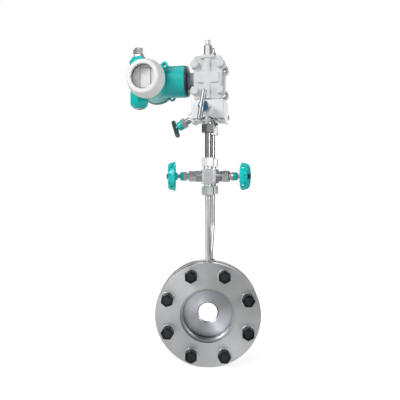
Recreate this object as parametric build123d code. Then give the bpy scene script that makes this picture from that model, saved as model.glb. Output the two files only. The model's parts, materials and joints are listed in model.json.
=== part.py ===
from build123d import *
import math
import os

# Orifice plate flow meter: a pair of pipe flanges holding the orifice plate, two impulse tubes with
# needle valves, a three-valve manifold and a differential pressure transmitter on top.
# Millimetres. The pipe runs along Y, +Z is up, and the origin is the centre of the front pipe seat's mouth.

# Flange pair, DN100 PN16
flange_d = 220.0
flange_thick = 20.0
flange_edge = 1.0
raised_face_inset = 11.0
raised_face_high = 1.5
pipe_outer_d = 114.3
pipe_seat_clear = 0.3
pipe_seat_deep = 4.0
flow_bore_d = 102.0
bore_lead = 2.5
bolt_to_rim = 20.0
bolt_count = 8
bolt_hole_d = 18.0

# Plate and gaskets between the flanges
plate_thick = 4.0
orifice_d = 40.0
orifice_land = 1.0
gasket_thick = 1.5
gasket_inset = 1.0
gasket_bolt_gap = 0.5

# Studs, nuts and washers of the flange pair, M16
stud_d = 16.0
stud_past_nut = 1.5
nut_across = 24.0
nut_high = 11.0
front_nut_spins = (30, 3, 31, 4, 40, 28, 30, 2)
washer_outer_d = 30.0
washer_thick = 2.5
washer_clear = 0.5
thread_clear = 0.05

# Impulse tubes
tube_d = 12.0
tube_wall = 2.0
tap_front_x = 0.0
tap_rear_x = 5.0
tap_socket_deep = 10.0
tap_passage_d = 8.0
tube_fit = 0.05
weld_size = 3.0
tube_rise = 18.0
tube_bend_high = 55.0
tube_bend_radius = 36.0

# The tower: both impulse lines, the manifold and the transmitter, turned a little to the left
tower_x = 4.2
tower_turn = -9.0
line_spacing = 54.0

# Needle valve in each line
valve_axis_z = 288.0
valve_block_wide = 24.0
valve_block_high = 30.5
valve_block_edge = 2.5
stub_d = 18.0
stub_long = 16.5
valve_passage_d = 6.0
valve_chamber_d = 8.0
valve_chamber_start = -2.5
bonnet_spigot_d = 15.0
bonnet_spigot_long = 10.0
bonnet_collar_d = 23.0
bonnet_collar_long = 11.5
bonnet_hex_across = 21.0
bonnet_hex_long = 15.0
bonnet_neck_d = 13.0
bonnet_neck_long = 4.0
bonnet_head_d = 18.0
bonnet_head_long = 6.0
gland_nut_d = 17.5
gland_nut_long = 7.5
gland_nose_long = 2.5
packing_d = 12.0
packing_long = 2.0
stem_d = 8.0
stem_clear = 0.05
needle_d = 4.8
seat_d = 4.0
seat_gap = 0.2
front_valve_turn = 183.0
rear_valve_turn = -16.0
front_bonnet_spin = 0.0
rear_bonnet_spin = 30.0

# Handwheel of each needle valve
wheel_d = 59.0
wheel_face_d = 50.0
wheel_deep = 14.5
wheel_wall = 4.0
wheel_web = 4.0
wheel_hub_d = 15.0
wheel_hub_reach = 4.5
wheel_gap = 5.0
wheel_lobes = 10
wheel_notch_d = 8.6
wheel_notch_deep = 4.5
wheel_side_hole_d = 6.0
wheel_face_holes = 5
wheel_face_hole_d = 7.2
wheel_face_hole_at = 14.0
wheel_dish = 1.5
wheel_spigot_d = 6.0
wheel_nut_across = 10.0
wheel_nut_high = 4.5

# Compression unions on the valves and under the manifold
union_across = 23.0
union_long = 17.5
union_end_wall = 2.5
ferrule_long = 3.5
tube_in_stub = 5.0

# Three-valve manifold
manifold_wide = 66.0
manifold_deep = 72.0
manifold_base_z = 404.0
manifold_high = 36.5
manifold_edge = 3.0
foot_wide = 70.0
foot_drop = 9.0
foot_arch_rise = 9.0
foot_deep = 40.0
port_spot_d = 25.0
port_spot_deep = 2.5
nipple_hex_across = 22.0
nipple_hex_drop = 2.0
nipple_hex_long = 6.0
nipple_neck_d = 14.0
nipple_thread_long = 7.0
manifold_passage_d = 5.0
manifold_nut_drop = 28.5
boss_d = 22.8
front_boss_long = 20.0
side_boss_start = 34.0
side_boss_end = 48.0
spindle_bonnet_across = 19.5
spindle_hex_long = 10.0
spindle_neck_long = 10.0
spindle_bonnet_sunk = 8.0
spindle_bonnet_thread_d = 13.5
spindle_cap_d = 19.0
spindle_cap_long = 11.0
spindle_show = 1.0
handle_bar_d = 10.0
handle_bar_long = 57.0
handle_hub_d = 9.6
handle_hub_long = 9.5
handle_grip_deep = 7.0
spindle_rise = 17.0
side_spindle_drop = 30.0
side_spindle_rise = 26.0
front_bar_tilt = 9.6
rear_bar_tilt = 90.0
side_bar_spin = 133.0
manifold_bolt_u = 22.0
manifold_bolt_d = 8.0
manifold_bolt_across = 13.0
manifold_bolt_head = 5.5
manifold_bolt_reach = 11.0
manifold_seal_d = 16.0
manifold_seal_thick = 2.0

# Measuring cell: two process flanges bolted across the capsule
cell_high = 87.0
cell_wide = 57.0
cell_corner = 6.0
capsule_deep = 36.0
capsule_wide = 60.0
capsule_waist_high = 35.0
capsule_column_wide = 40.0
capsule_drop = 1.0
process_flange_thick = 15.0
process_rib_wide = 14.0
process_pad_wide = 46.0
process_pad_high = 20.0
process_pad_raise = 3.5
process_edge = 2.0
port_boss_wide = 28.0
port_boss_high = 6.5
port_boss_raise = 6.0
cell_bolt_spread_u = 51.0
cell_bolt_spread_z = 51.5
cell_bolt_d = 8.0
cell_bolt_hole_d = 8.6
cell_bolt_across = 14.0
cell_bolt_head = 10.0
cell_ear_d = 19.4
cell_nut_high = 6.5
cell_bolt_past_nut = 3.0
cell_chamber_d = 44.0
cell_chamber_deep = 2.0
cell_seal_d = 52.0
cell_seal_section = 2.6
cell_passage_d = 5.0

# Vent valves on the process flanges
vent_thread_d = 9.0
vent_thread_long = 8.0
vent_hex_across = 14.0
vent_hex_high = 20.5
vent_screw_d = 5.0
vent_screw_sunk = 10.0
vent_cap_d = 10.0
vent_cap_high = 9.5
vent_neck = 1.0
vent_outlet_d = 2.5

# Neck between the cell and the head
axis_rise = 0.7
neck_d = 34.0
neck_ring_d = 62.0
neck_ring_face_d = 46.0
neck_ring_long = 4.5
neck_ring_rim = 2.5
neck_end_gap = 0.5
sleeve_d = 65.0
sleeve_wall = 5.0
sleeve_end = 48.5
sleeve_to_barrel = 1.0
sleeve_edge = 2.5
collar_step = 1.5

# Head: housing, screw covers, window and display
head_u = 123.5
barrel_front = 41.0
barrel_back = 34.0
cover_thread_d = 67.8
barrel_shoulder = 3.6
cover_wall = 5.4
cover_taper = 6.8
cover_long = 28.0
cover_rim_long = 6.0
cover_thread_long = 10.0
cover_thread_clear = 0.1
window_lip = 4.4
window_bevel = 1.0
window_wall = 6.0
glass_seat_step = 5.0
glass_thick = 6.0
glass_fit = 0.1
glass_ring_thick = 2.5
glass_ring_wide = 3.9
rear_cover_long = 23.0
cover_seal_thick = 2.4
cover_seal_wide = 2.1
cover_seal_clear = 0.1
cover_seal_gap = 0.4
cover_gap = 0.4
mouth_wall = 2.6
display_clear = 0.3
display_thick = 10.0
display_back = 2.0
display_screen_wide = 20.0
display_screen_high = 37.0
display_bezel_edge = 2.0
display_bezel_raise = 1.5
spigot_d = 53.6
spigot_long = 20.0

# Conduit column at the left of the housing, with the cable gland above and the blind plug below
conduit_u = 149.0
conduit_v = -12.0
conduit_d = 36.0
conduit_top_d = 27.0
conduit_top_flare = 40.0
conduit_top_cone = 10.0
conduit_top_rise = 51.3
conduit_base_across = 33.5
conduit_base_end_d = 22.0
conduit_base_cone = 7.5
conduit_base_drop = 54.7
conduit_base_tall = 34.0
conduit_base_spin = 35.0
conduit_bore_d = 16.0
conduit_bore_deep = 16.0
gland_hex_across = 19.0
gland_hex_high = 4.5
gland_thread_long = 12.0
gland_cap_across = 21.0
gland_cap_high = 14.0
gland_dome_high = 3.5
gland_dome_d = 16.0
gland_end_wall = 4.0
gland_seal_d = 16.0
cable_hole_d = 8.0
blind_plug_d = 18.0
blind_plug_high = 1.5
blind_socket_across = 10.0
lug_d = 14.0
lug_hole_d = 6.0
lug_clear = 0.5
front_lug_angle = 36.0
front_lug_long = 13.0
rear_lug_angle = -38.0
rear_lug_long = 8.0

# Values worked out from the sizes above
flange_r = flange_d / 2
bolt_circle_d = flange_d - 2 * bolt_to_rim
bolt_r = bolt_circle_d / 2
raised_face_d = bolt_circle_d - 2 * raised_face_inset
gasket_d = bolt_circle_d - bolt_hole_d
pair_thick = 2 * flange_thick + 2 * gasket_thick + plate_thick
mid_y = pair_thick / 2
half_spacing = line_spacing / 2
tube_r = tube_d / 2
tube_bore_d = tube_d - 2 * tube_wall
stub_r = stub_d / 2
half_block = valve_block_wide / 2
stem_r = stem_d / 2
collar_start = half_block
hex_start = collar_start + bonnet_collar_long
bonnet_neck_start = hex_start + bonnet_hex_long
bonnet_head_start = bonnet_neck_start + bonnet_neck_long
bonnet_end = bonnet_head_start + bonnet_head_long
gland_nut_end = bonnet_end + gland_nut_long
wheel_start = gland_nut_end + wheel_gap
wheel_rim_start = wheel_start + wheel_hub_reach
wheel_end = wheel_rim_start + wheel_deep
union_bore_deep = union_long - union_end_wall
stub_in_nut = union_bore_deep - ferrule_long
manifold_top_z = manifold_base_z + manifold_high
manifold_nut_base_z = manifold_base_z - manifold_nut_drop
spindle_z = manifold_base_z + spindle_rise
side_spindle_z = manifold_base_z + side_spindle_rise
cell_base_z = manifold_top_z
manifold_port_z = manifold_base_z + port_spot_deep
cell_mid_z = cell_base_z + cell_high / 2
cell_top_z = cell_base_z + cell_high
axis_z = cell_mid_z + axis_rise
cell_front_v = capsule_deep / 2 + process_flange_thick
spindle_bonnet_long = spindle_neck_long + spindle_hex_long
cap_end = spindle_bonnet_long + spindle_cap_long
handle_seat = cap_end + spindle_show
handle_mid = handle_seat + handle_bar_d / 2
neck_reach = sleeve_end - neck_end_gap
barrel_d = cover_thread_d + 2 * barrel_shoulder
barrel_r = barrel_d / 2
cover_d = cover_thread_d + 2 * cover_wall
cover_face_d = cover_d - 2 * cover_taper
glass_d = cover_thread_d - 2 * glass_seat_step
glass_ring_d = glass_d - 2 * glass_ring_wide
window_d = glass_d - 2 * window_lip
head_bore_d = cover_thread_d - 2 * mouth_wall
display_d = head_bore_d - 2 * display_clear
cover_recess_r = cover_thread_d / 2 + cover_seal_gap + cover_seal_wide
lug_r = barrel_r + lug_d / 2 + lug_clear
sleeve_start = head_u - barrel_r - sleeve_to_barrel


def turned(points):
    """A solid of revolution about Z from (radius, height) points."""
    outline = Polyline(*[(radius, 0, height) for radius, height in points], close=True)
    return revolve(make_face(outline), Axis.Z)


def rod(diameter, start, end):
    """A plain round bar along Z."""
    return Pos(0, 0, (start + end) / 2) * Cylinder(diameter / 2, end - start)


def hex_bar(across, start, end, spin=0.0):
    """A hexagon bar along Z, its corners eased at both ends as on a turned nut."""
    flat_r = across / 2
    corner_r = flat_r / math.cos(math.radians(30))
    ease = corner_r - flat_r * 0.97
    bar = Pos(0, 0, start) * Rot(0, 0, spin) * extrude(
        RegularPolygon(flat_r, 6, major_radius=False), end - start
    )
    envelope = turned(
        [
            (0, start),
            (corner_r - ease, start),
            (corner_r, start + ease * 0.5),
            (corner_r, end - ease * 0.5),
            (corner_r - ease, end),
            (0, end),
        ]
    )
    return bar & envelope


def aim(origin, direction, side=None):
    """A place whose Z points along the direction."""
    if side is None:
        return Plane(origin=origin, z_dir=direction).location
    return Plane(origin=origin, x_dir=side, z_dir=direction).location


def tower(shape):
    """Carries a shape from the tower's own frame, u right, v back, to the part's frame."""
    return Pos(tower_x, mid_y, 0) * Rot(0, 0, tower_turn) * shape


def tower_point(u, v, z):
    """A point of the tower's own frame in the part's frame."""
    turn = math.radians(tower_turn)
    x = tower_x + u * math.cos(turn) - v * math.sin(turn)
    y = mid_y + u * math.sin(turn) + v * math.cos(turn)
    return (x, y, z)


def group(shapes):
    """Several separate solids written as one file."""
    return Compound(children=[solid for shape in shapes for solid in shape.solids()])


# Flanges: turned discs with a raised face, a seat for the pipe's end, bolt holes and a pressure tap
along_pipe = aim((0, 0, 0), (0, 1, 0), (1, 0, 0))
against_pipe = aim((0, pair_thick, 0), (0, -1, 0), (1, 0, 0))
tap_y = flange_thick / 2


def flange_disc():
    seat_r = pipe_outer_d / 2 + pipe_seat_clear
    bore_r = flow_bore_d / 2
    rim_end = flange_thick - raised_face_high
    disc = turned(
        [
            (seat_r, 0),
            (flange_r - flange_edge, 0),
            (flange_r, flange_edge),
            (flange_r, rim_end - flange_edge),
            (flange_r - flange_edge, rim_end),
            (raised_face_d / 2, rim_end),
            (raised_face_d / 2, flange_thick),
            (bore_r, flange_thick),
            (bore_r, pipe_seat_deep + bore_lead),
            (bore_r + bore_lead, pipe_seat_deep),
            (seat_r, pipe_seat_deep),
        ]
    )
    holes = PolarLocations(bolt_r, bolt_count, 180 / bolt_count)
    return disc - [place * rod(bolt_hole_d, -1, flange_thick + 1) for place in holes]


def tap_cut(x, y):
    socket_start = flange_r - tap_socket_deep
    socket = rod(tube_d + 2 * tube_fit, socket_start, flange_r + 5)
    passage = rod(tap_passage_d, flow_bore_d / 2 - 5, socket_start + 1)
    return Pos(x, y, 0) * (socket + passage)


front_flange = along_pipe * flange_disc() - tap_cut(tap_front_x, tap_y)
rear_flange = against_pipe * flange_disc() - tap_cut(tap_rear_x, pair_thick - tap_y)


# Gaskets: flat rings inside the bolt circle
def gasket(y):
    ring_r = gasket_d / 2 - gasket_bolt_gap
    hole_r = flow_bore_d / 2 + gasket_inset
    ring = turned([(hole_r, 0), (ring_r, 0), (ring_r, gasket_thick), (hole_r, gasket_thick)])
    return Pos(0, y, 0) * along_pipe * ring


flange_gaskets = group([gasket(flange_thick), gasket(pair_thick - flange_thick - gasket_thick)])


# Orifice plate: square edge upstream at the back, bevelled on the downstream side at the front
def orifice_disc():
    hole_r = orifice_d / 2
    bevel = plate_thick - orifice_land
    plate_r = gasket_d / 2 - gasket_bolt_gap
    return turned(
        [
            (hole_r + bevel, 0),
            (plate_r, 0),
            (plate_r, plate_thick),
            (hole_r, plate_thick),
            (hole_r, bevel),
        ]
    )


orifice_plate = Pos(0, flange_thick + gasket_thick, 0) * along_pipe * orifice_disc()

# Studs, nuts and washers round the bolt circle; each front nut stopped at its own angle
stud_out = washer_thick + nut_high + stud_past_nut
stud_chamfer = 1.5


def stud():
    r = stud_d / 2
    start = -stud_out
    end = pair_thick + stud_out
    return turned(
        [
            (0, start),
            (r - stud_chamfer, start),
            (r, start + stud_chamfer),
            (r, end - stud_chamfer),
            (r - stud_chamfer, end),
            (0, end),
        ]
    )


def stud_nut(start, spin):
    nut = hex_bar(nut_across, start, start + nut_high, spin)
    return nut - rod(stud_d + 2 * thread_clear, start - 1, start + nut_high + 1)


def washer(start):
    hole_r = stud_d / 2 + washer_clear
    end = start + washer_thick
    outer_r = washer_outer_d / 2
    return turned([(hole_r, start), (outer_r, start), (outer_r, end), (hole_r, end)])


def round_the_flange(shapes_at):
    """The shapes that the function gives for each bolt, carried to their places."""
    places = PolarLocations(bolt_r, bolt_count, 180 / bolt_count)
    upright = [Pos(place.position) * shape for bolt, place in enumerate(places) for shape in shapes_at(bolt)]
    return group([along_pipe * shape for shape in upright])


def nut_pair(bolt):
    front = stud_nut(-washer_thick - nut_high, front_nut_spins[bolt % len(front_nut_spins)])
    return [front, stud_nut(pair_thick + washer_thick, 30)]


flange_studs = round_the_flange(lambda bolt: [stud()])
flange_nuts = round_the_flange(nut_pair)
flange_washers = round_the_flange(lambda bolt: [washer(-washer_thick), washer(pair_thick)])


# Lower impulse tubes: bent seamless tube, seated in the flange rim and closed with a weld bead
def swept_tube(points, bend_radius):
    path = FilletPolyline(*points, radius=bend_radius) if bend_radius else Polyline(*points)
    section = Plane(origin=points[0], z_dir=(0, 0, 1)) * (Circle(tube_r) - Circle(tube_bore_d / 2))
    return sweep(section, path)


def weld_bead(x, y):
    high = flange_r + weld_size
    low = flange_r - weld_size
    bead = turned([(tube_r - 0.5, low), (tube_r + weld_size * 2, low), (tube_r, high), (tube_r - 0.5, high)])
    rim = along_pipe * rod(flange_d, -weld_size, pair_thick + weld_size)
    return Pos(x, y, 0) * bead - rim


def line_place(v):
    return tower_point(0, v, 0)


lower_tube_top = valve_axis_z - valve_block_high / 2 - stub_long + tube_in_stub


def lower_tube(tap_x, y, v):
    line_x, line_y, _ = line_place(v)
    start_z = flange_r - tap_socket_deep
    bend_z = flange_r + tube_rise
    points = [
        (tap_x, y, start_z),
        (tap_x, y, bend_z),
        (line_x, line_y, bend_z + tube_bend_high),
        (line_x, line_y, lower_tube_top),
    ]
    return swept_tube(points, tube_bend_radius) + weld_bead(tap_x, y)


front_lower_tube = lower_tube(tap_front_x, tap_y, -half_spacing)
rear_lower_tube = lower_tube(tap_rear_x, pair_thick - tap_y, half_spacing)


# Needle valve body: a square block with a threaded stub above and below, bored for the flow
def valve_body():
    block = Box(valve_block_wide, valve_block_wide, valve_block_high)
    block = chamfer(block.edges().filter_by(Axis.Z), valve_block_edge)
    block = block & rod(valve_block_wide * 1.3, -valve_block_high / 2, valve_block_high / 2)
    half_high = valve_block_high / 2
    reach = half_high + stub_long
    body = block + rod(stub_d, -reach, reach)
    socket_d = tube_d + 2 * tube_fit
    body -= rod(socket_d, reach - tube_in_stub, reach + 1)
    body -= rod(socket_d, -reach - 1, -reach + tube_in_stub)
    body -= rod(valve_passage_d, valve_chamber_d / 4, reach)
    body -= rod(valve_passage_d, -reach, -half_high + 5.0)
    lengthwise = aim((0, 0, 0), (1, 0, 0), (0, 1, 0))
    chamber_end = half_block - bonnet_spigot_long
    body -= lengthwise * rod(valve_chamber_d, valve_chamber_start, chamber_end + 1)
    body -= lengthwise * rod(bonnet_spigot_d, chamber_end, half_block + 1)
    seat_reach = half_block - 4.0
    body -= lengthwise * rod(seat_d, -seat_reach, valve_chamber_start + 1)
    corner = (-seat_reach + seat_d / 2, 0, 0)
    lower = (-1.5, 0, -half_high + 4.5)
    slant = (lower[0] - corner[0], 0, lower[2] - corner[2])
    slant_long = math.hypot(slant[0], slant[2])
    body -= aim(corner, slant) * rod(seat_d * 0.75, 0, slant_long)
    return body


# Bonnet: a round collar against the block, a hexagon, a short neck and the head that takes the gland nut
def valve_bonnet(spin):
    spigot_start = half_block - bonnet_spigot_long
    spigot = rod(bonnet_spigot_d - 2 * thread_clear, spigot_start, collar_start)
    collar_r = bonnet_collar_d / 2
    collar = turned(
        [
            (0, collar_start),
            (collar_r - 1, collar_start),
            (collar_r, collar_start + 1),
            (collar_r, hex_start - 1),
            (collar_r - 1, hex_start),
            (0, hex_start),
        ]
    )
    hexagon = hex_bar(bonnet_hex_across, hex_start, bonnet_neck_start, spin)
    neck = rod(bonnet_neck_d, bonnet_neck_start, bonnet_head_start)
    head = rod(bonnet_head_d, bonnet_head_start, bonnet_end)
    bonnet = spigot + collar + hexagon + neck + head
    bonnet -= rod(stem_d + 2 * stem_clear, spigot_start - 1, bonnet_end + 1)
    return bonnet - rod(packing_d + 0.1, bonnet_end - gland_nose_long - packing_long, bonnet_end + 1)


def packing_ring(end):
    ring = rod(packing_d, end - packing_long, end)
    return ring - rod(stem_d + 2 * stem_clear, end - packing_long - 1, end + 1)


# Gland nut: the coloured cap that squeezes the packing
def gland_nut():
    r = gland_nut_d / 2
    nose_r = packing_d / 2
    nose = bonnet_end - gland_nose_long
    hole_r = stem_r + stem_clear
    return turned(
        [
            (hole_r, nose),
            (nose_r, nose),
            (nose_r, bonnet_end),
            (r, bonnet_end),
            (r, gland_nut_end - 2.5),
            (r - 1.0, gland_nut_end - 0.8),
            (r - 3.0, gland_nut_end),
            (hole_r, gland_nut_end),
        ]
    )


# Stem: needle point, threaded shank and the spigot that carries the handwheel
def valve_stem():
    tip = valve_chamber_start + seat_gap
    shank_start = half_block - bonnet_spigot_long + 1.0
    spigot_r = wheel_spigot_d / 2
    end = wheel_end + 1.5
    needle_r = needle_d / 2
    return turned(
        [
            (0, tip - 1.0),
            (seat_d / 2 - 1.0, tip - 1.0),
            (seat_d / 2 - 0.1, tip),
            (needle_r, tip + 0.6),
            (needle_r, shank_start),
            (stem_r, shank_start),
            (stem_r, wheel_start - 0.3),
            (spigot_r, wheel_start - 0.3),
            (spigot_r, end),
            (0, end),
        ]
    )


# Handwheel: a cast cup with a rolled lip, a dished face with round holes, four holes in its skirt and
# notches round the front edge that leave finger lobes between them
def handwheel():
    start = wheel_rim_start
    outer_r = wheel_d / 2
    face_r = wheel_face_d / 2
    web_start = wheel_end - wheel_web
    hub_r = wheel_hub_d / 2
    ring_in = face_r * 0.7
    cup = turned(
        [
            (0, wheel_start),
            (hub_r - 0.8, wheel_start),
            (hub_r, wheel_start + 0.8),
            (hub_r, web_start - 2),
            (hub_r + 2, web_start),
            (face_r - wheel_wall, web_start),
            (outer_r - wheel_wall, start + 2),
            (outer_r - wheel_wall + 0.8, start),
            (outer_r - 0.9, start),
            (outer_r, start + 0.9),
            (outer_r - 0.9, start + 4.5),
            (face_r + 1.2, wheel_end - 2.7),
            (face_r - 0.4, wheel_end - 0.4),
            (face_r - 2.4, wheel_end),
            (ring_in, wheel_end),
            (ring_in - 2.5, wheel_end - wheel_dish),
            (0, wheel_end - wheel_dish),
        ]
    )
    notch_at = face_r + wheel_notch_d / 2 - 1.7
    notch = rod(wheel_notch_d, wheel_end - wheel_notch_deep, wheel_end + 5)
    cup -= [place * notch for place in PolarLocations(notch_at, wheel_lobes, 0)]
    face_hole = rod(wheel_face_hole_d, web_start - 5, wheel_end + 5)
    hole_step = 180 / wheel_lobes
    cup -= [place * face_hole for place in PolarLocations(wheel_face_hole_at, wheel_face_holes, hole_step)]
    side_z = start + wheel_deep * 0.42
    side_hole = aim((0, 0, side_z), (1, 0, 0)) * rod(wheel_side_hole_d, face_r * 0.75, outer_r + 5)
    cup -= [Rot(0, 0, 45 + 90 * turn) * side_hole for turn in range(4)]
    return cup - rod(wheel_spigot_d + 2 * stem_clear, wheel_start - 1, wheel_end + 5)


def wheel_nut():
    seat = wheel_end - wheel_dish
    nut = hex_bar(wheel_nut_across, seat, seat + wheel_nut_high)
    return nut - rod(wheel_spigot_d + 2 * stem_clear, seat - 1, seat + wheel_nut_high + 1)


def on_valve(shape, v, turn):
    """Carries a shape whose Z is the stem axis to its valve."""
    x, y, _ = line_place(v)
    stem_axis = aim((0, 0, 0), (1, 0, 0), (0, 1, 0))
    return Pos(x, y, valve_axis_z) * Rot(0, 0, turn) * stem_axis * shape


def body_on_line(v, turn):
    x, y, _ = line_place(v)
    return Pos(x, y, valve_axis_z) * Rot(0, 0, turn) * valve_body()


valve_places = {
    "front": (-half_spacing, front_valve_turn),
    "rear": (half_spacing, rear_valve_turn),
}
valve_bodies = {name: body_on_line(*place) for name, place in valve_places.items()}
bonnet_spins = {"front": front_bonnet_spin, "rear": rear_bonnet_spin}
valve_bonnets = {}
for name in valve_places:
    valve_bonnets[name] = on_valve(valve_bonnet(bonnet_spins[name]), *valve_places[name])
valve_stems = {name: on_valve(valve_stem(), *place) for name, place in valve_places.items()}
handwheels = {name: on_valve(handwheel(), *place) for name, place in valve_places.items()}
wheel_nuts = {name: on_valve(wheel_nut(), *place) for name, place in valve_places.items()}
valve_gland_nuts = group([on_valve(gland_nut(), *place) for place in valve_places.values()])
packing_end = bonnet_end - gland_nose_long
line_packings = [on_valve(packing_ring(packing_end), *place) for place in valve_places.values()]


# Unions: a hexagon nut over the stub, squeezing a ferrule onto the tube
def union_nut():
    """Its mouth is at Z 0 and it reaches up the tube."""
    nut = hex_bar(union_across, 0, union_long, spin=30)
    nut -= rod(stub_d + 2 * thread_clear, -1, union_bore_deep)
    return nut - rod(tube_d + 2 * tube_fit, 0, union_long + 1)


def ferrule():
    inner_r = tube_r + tube_fit
    base = stub_in_nut
    top = union_bore_deep
    return turned([(inner_r, base), (stub_r, base), (stub_r - 1.5, top), (inner_r, top)])


def on_line(shape, v, z, up=True):
    x, y, _ = line_place(v)
    flip = Rot(0, 0, 0) if up else Rot(180, 0, 0)
    return Pos(x, y, z) * Rot(0, 0, tower_turn) * flip * shape


upper_union_z = valve_axis_z + valve_block_high / 2 + stub_long - stub_in_nut
lower_union_z = valve_axis_z - valve_block_high / 2 - stub_long + stub_in_nut
manifold_union_z = manifold_nut_base_z + union_long
line_vs = (-half_spacing, half_spacing)
valve_unions = [(v, upper_union_z, True) for v in line_vs] + [(v, lower_union_z, False) for v in line_vs]
manifold_unions = [(v, manifold_union_z, False) for v in line_vs]
line_union_nuts = group([on_line(union_nut(), *place) for place in valve_unions])
manifold_union_nuts = group([on_line(union_nut(), *place) for place in manifold_unions])
union_ferrules = group([on_line(ferrule(), *place) for place in valve_unions + manifold_unions])

# Upper impulse tubes: straight, from the valve's upper union to the manifold's union
upper_tube_start = valve_axis_z + valve_block_high / 2 + stub_long - tube_in_stub
nipple_end_z = manifold_union_z - stub_in_nut
upper_tube_end = nipple_end_z + tube_in_stub


def upper_tube(v):
    x, y, _ = line_place(v)
    return swept_tube([(x, y, upper_tube_start), (x, y, upper_tube_end)], 0)


front_upper_tube = upper_tube(-half_spacing)
rear_upper_tube = upper_tube(half_spacing)


# Nipple: the fitting screwed into the manifold's port, a hexagon between two necks
def manifold_nipple():
    hex_start_z = manifold_base_z - nipple_hex_drop - nipple_hex_long
    nipple = rod(stub_d, nipple_end_z, hex_start_z)
    nipple += hex_bar(nipple_hex_across, hex_start_z, hex_start_z + nipple_hex_long)
    nipple += rod(nipple_neck_d, hex_start_z + nipple_hex_long, manifold_port_z + nipple_thread_long)
    nipple -= rod(valve_passage_d, nipple_end_z, manifold_port_z + nipple_thread_long + 1)
    return nipple - rod(tube_d + 2 * tube_fit, nipple_end_z - 1, upper_tube_end)


manifold_nipples = group([tower(Pos(0, v, 0) * manifold_nipple()) for v in line_vs])


# Manifold valve axes in the tower's frame: front and rear square to their faces, the third drops left
def spindle_axis(name):
    drop = math.radians(side_spindle_drop)
    face_v = manifold_deep / 2
    if name == "front":
        return (0, -face_v, spindle_z), (0, -1, 0)
    if name == "rear":
        return (0, face_v, spindle_z), (0, 1, 0)
    return (0, 0, side_spindle_z), (-math.cos(drop), 0, -math.sin(drop))


def boss_span(name):
    if name == "side":
        return side_boss_start, side_boss_end
    return -manifold_edge, front_boss_long


def spindle_place(name):
    """A place with Z along the spindle, outwards, its origin where the bonnet seats on the boss."""
    origin, direction = spindle_axis(name)
    reach = boss_span(name)[1]
    seat = [base + reach * part for base, part in zip(origin, direction)]
    side = (-direction[1], direction[0], 0) if name != "side" else (0, -1, 0)
    return aim(tuple(seat), direction, side)


spindle_names = ("front", "rear", "side")
bar_spins = {"front": front_bar_tilt, "rear": rear_bar_tilt, "side": side_bar_spin}


def manifold_body():
    block_high = manifold_top_z - manifold_base_z
    block = Pos(0, 0, manifold_base_z + block_high / 2) * Box(manifold_wide, manifold_deep, block_high)
    block = fillet(block.edges().filter_by(Axis.Z), manifold_edge)
    half_foot = foot_wide / 2
    shoulder = manifold_wide / 2 - 1.0
    tip_z = manifold_base_z - foot_drop
    arch_z = tip_z + foot_arch_rise
    outline = Polyline(
        (-half_foot, 0, tip_z),
        (-half_foot, 0, tip_z + 3.0),
        (-shoulder, 0, manifold_base_z + 5.0),
        (shoulder, 0, manifold_base_z + 5.0),
        (half_foot, 0, tip_z + 3.0),
        (half_foot, 0, tip_z),
    )
    arch = ThreePointArc((half_foot, 0, tip_z), (0, 0, arch_z), (-half_foot, 0, tip_z))
    foot = extrude(make_face([outline, arch]), foot_deep / 2, dir=(0, 1, 0), both=True)
    body = block + foot
    for name in spindle_names:
        origin, direction = spindle_axis(name)
        start, end = boss_span(name)
        body += aim(origin, direction) * rod(boss_d, start, end)
    for side in (-1, 1):
        spot = rod(port_spot_d, tip_z - 1, manifold_port_z)
        body -= Pos(0, side * half_spacing, 0) * spot
        thread_hole_d = nipple_neck_d + 2 * thread_clear
        thread = rod(thread_hole_d, manifold_port_z - 1, manifold_port_z + nipple_thread_long)
        passage = rod(manifold_passage_d, manifold_port_z, manifold_top_z + 1)
        groove_z = manifold_top_z - manifold_seal_thick
        groove = rod(manifold_seal_d, groove_z, manifold_top_z + 1)
        body -= Pos(0, side * half_spacing, 0) * (thread + passage + groove)
        for across in (-1, 1):
            place = Pos(across * manifold_bolt_u, side * half_spacing, 0)
            shank = rod(manifold_bolt_d + 1, tip_z - 1, manifold_top_z + 1)
            recess = rod(manifold_bolt_across * 1.3, tip_z - 1, manifold_base_z + 2)
            body -= place * (shank + recess)
    cross = aim((0, 0, side_spindle_z), (0, 1, 0)) * rod(4.0, -half_spacing, half_spacing)
    body -= cross
    for name in spindle_names:
        deep = half_spacing if name == "side" else manifold_deep / 2 - half_spacing
        reach = boss_span(name)[1]
        nose = -reach - deep * 0.2 if name == "side" else -reach - deep
        place = spindle_place(name)
        body -= place * rod(stem_d + 2 * stem_clear + 0.5, nose, 0)
        body -= place * rod(spindle_bonnet_thread_d, -spindle_bonnet_sunk, 1)
    return body


# Spindle bonnets, their packing and coloured caps
def spindle_bonnet():
    bonnet = hex_bar(spindle_bonnet_across, spindle_neck_long, spindle_bonnet_long)
    bonnet += rod(spindle_bonnet_thread_d - 2 * thread_clear, -spindle_bonnet_sunk, spindle_neck_long)
    bonnet -= rod(stem_d + 2 * stem_clear, -spindle_bonnet_sunk - 1, spindle_bonnet_long + 1)
    box_start = spindle_bonnet_long - gland_nose_long - packing_long
    return bonnet - rod(packing_d + 0.1, box_start, spindle_bonnet_long + 1)


def spindle_cap():
    base = spindle_bonnet_long
    r = spindle_cap_d / 2
    hole_r = stem_r + stem_clear
    nose_r = packing_d / 2
    return turned(
        [
            (hole_r, base - gland_nose_long),
            (nose_r, base - gland_nose_long),
            (nose_r, base),
            (r - 0.5, base),
            (r, base + 1),
            (r, cap_end - 3),
            (r - 1.2, cap_end - 1),
            (r - 3.5, cap_end),
            (hole_r, cap_end),
        ]
    )


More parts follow.
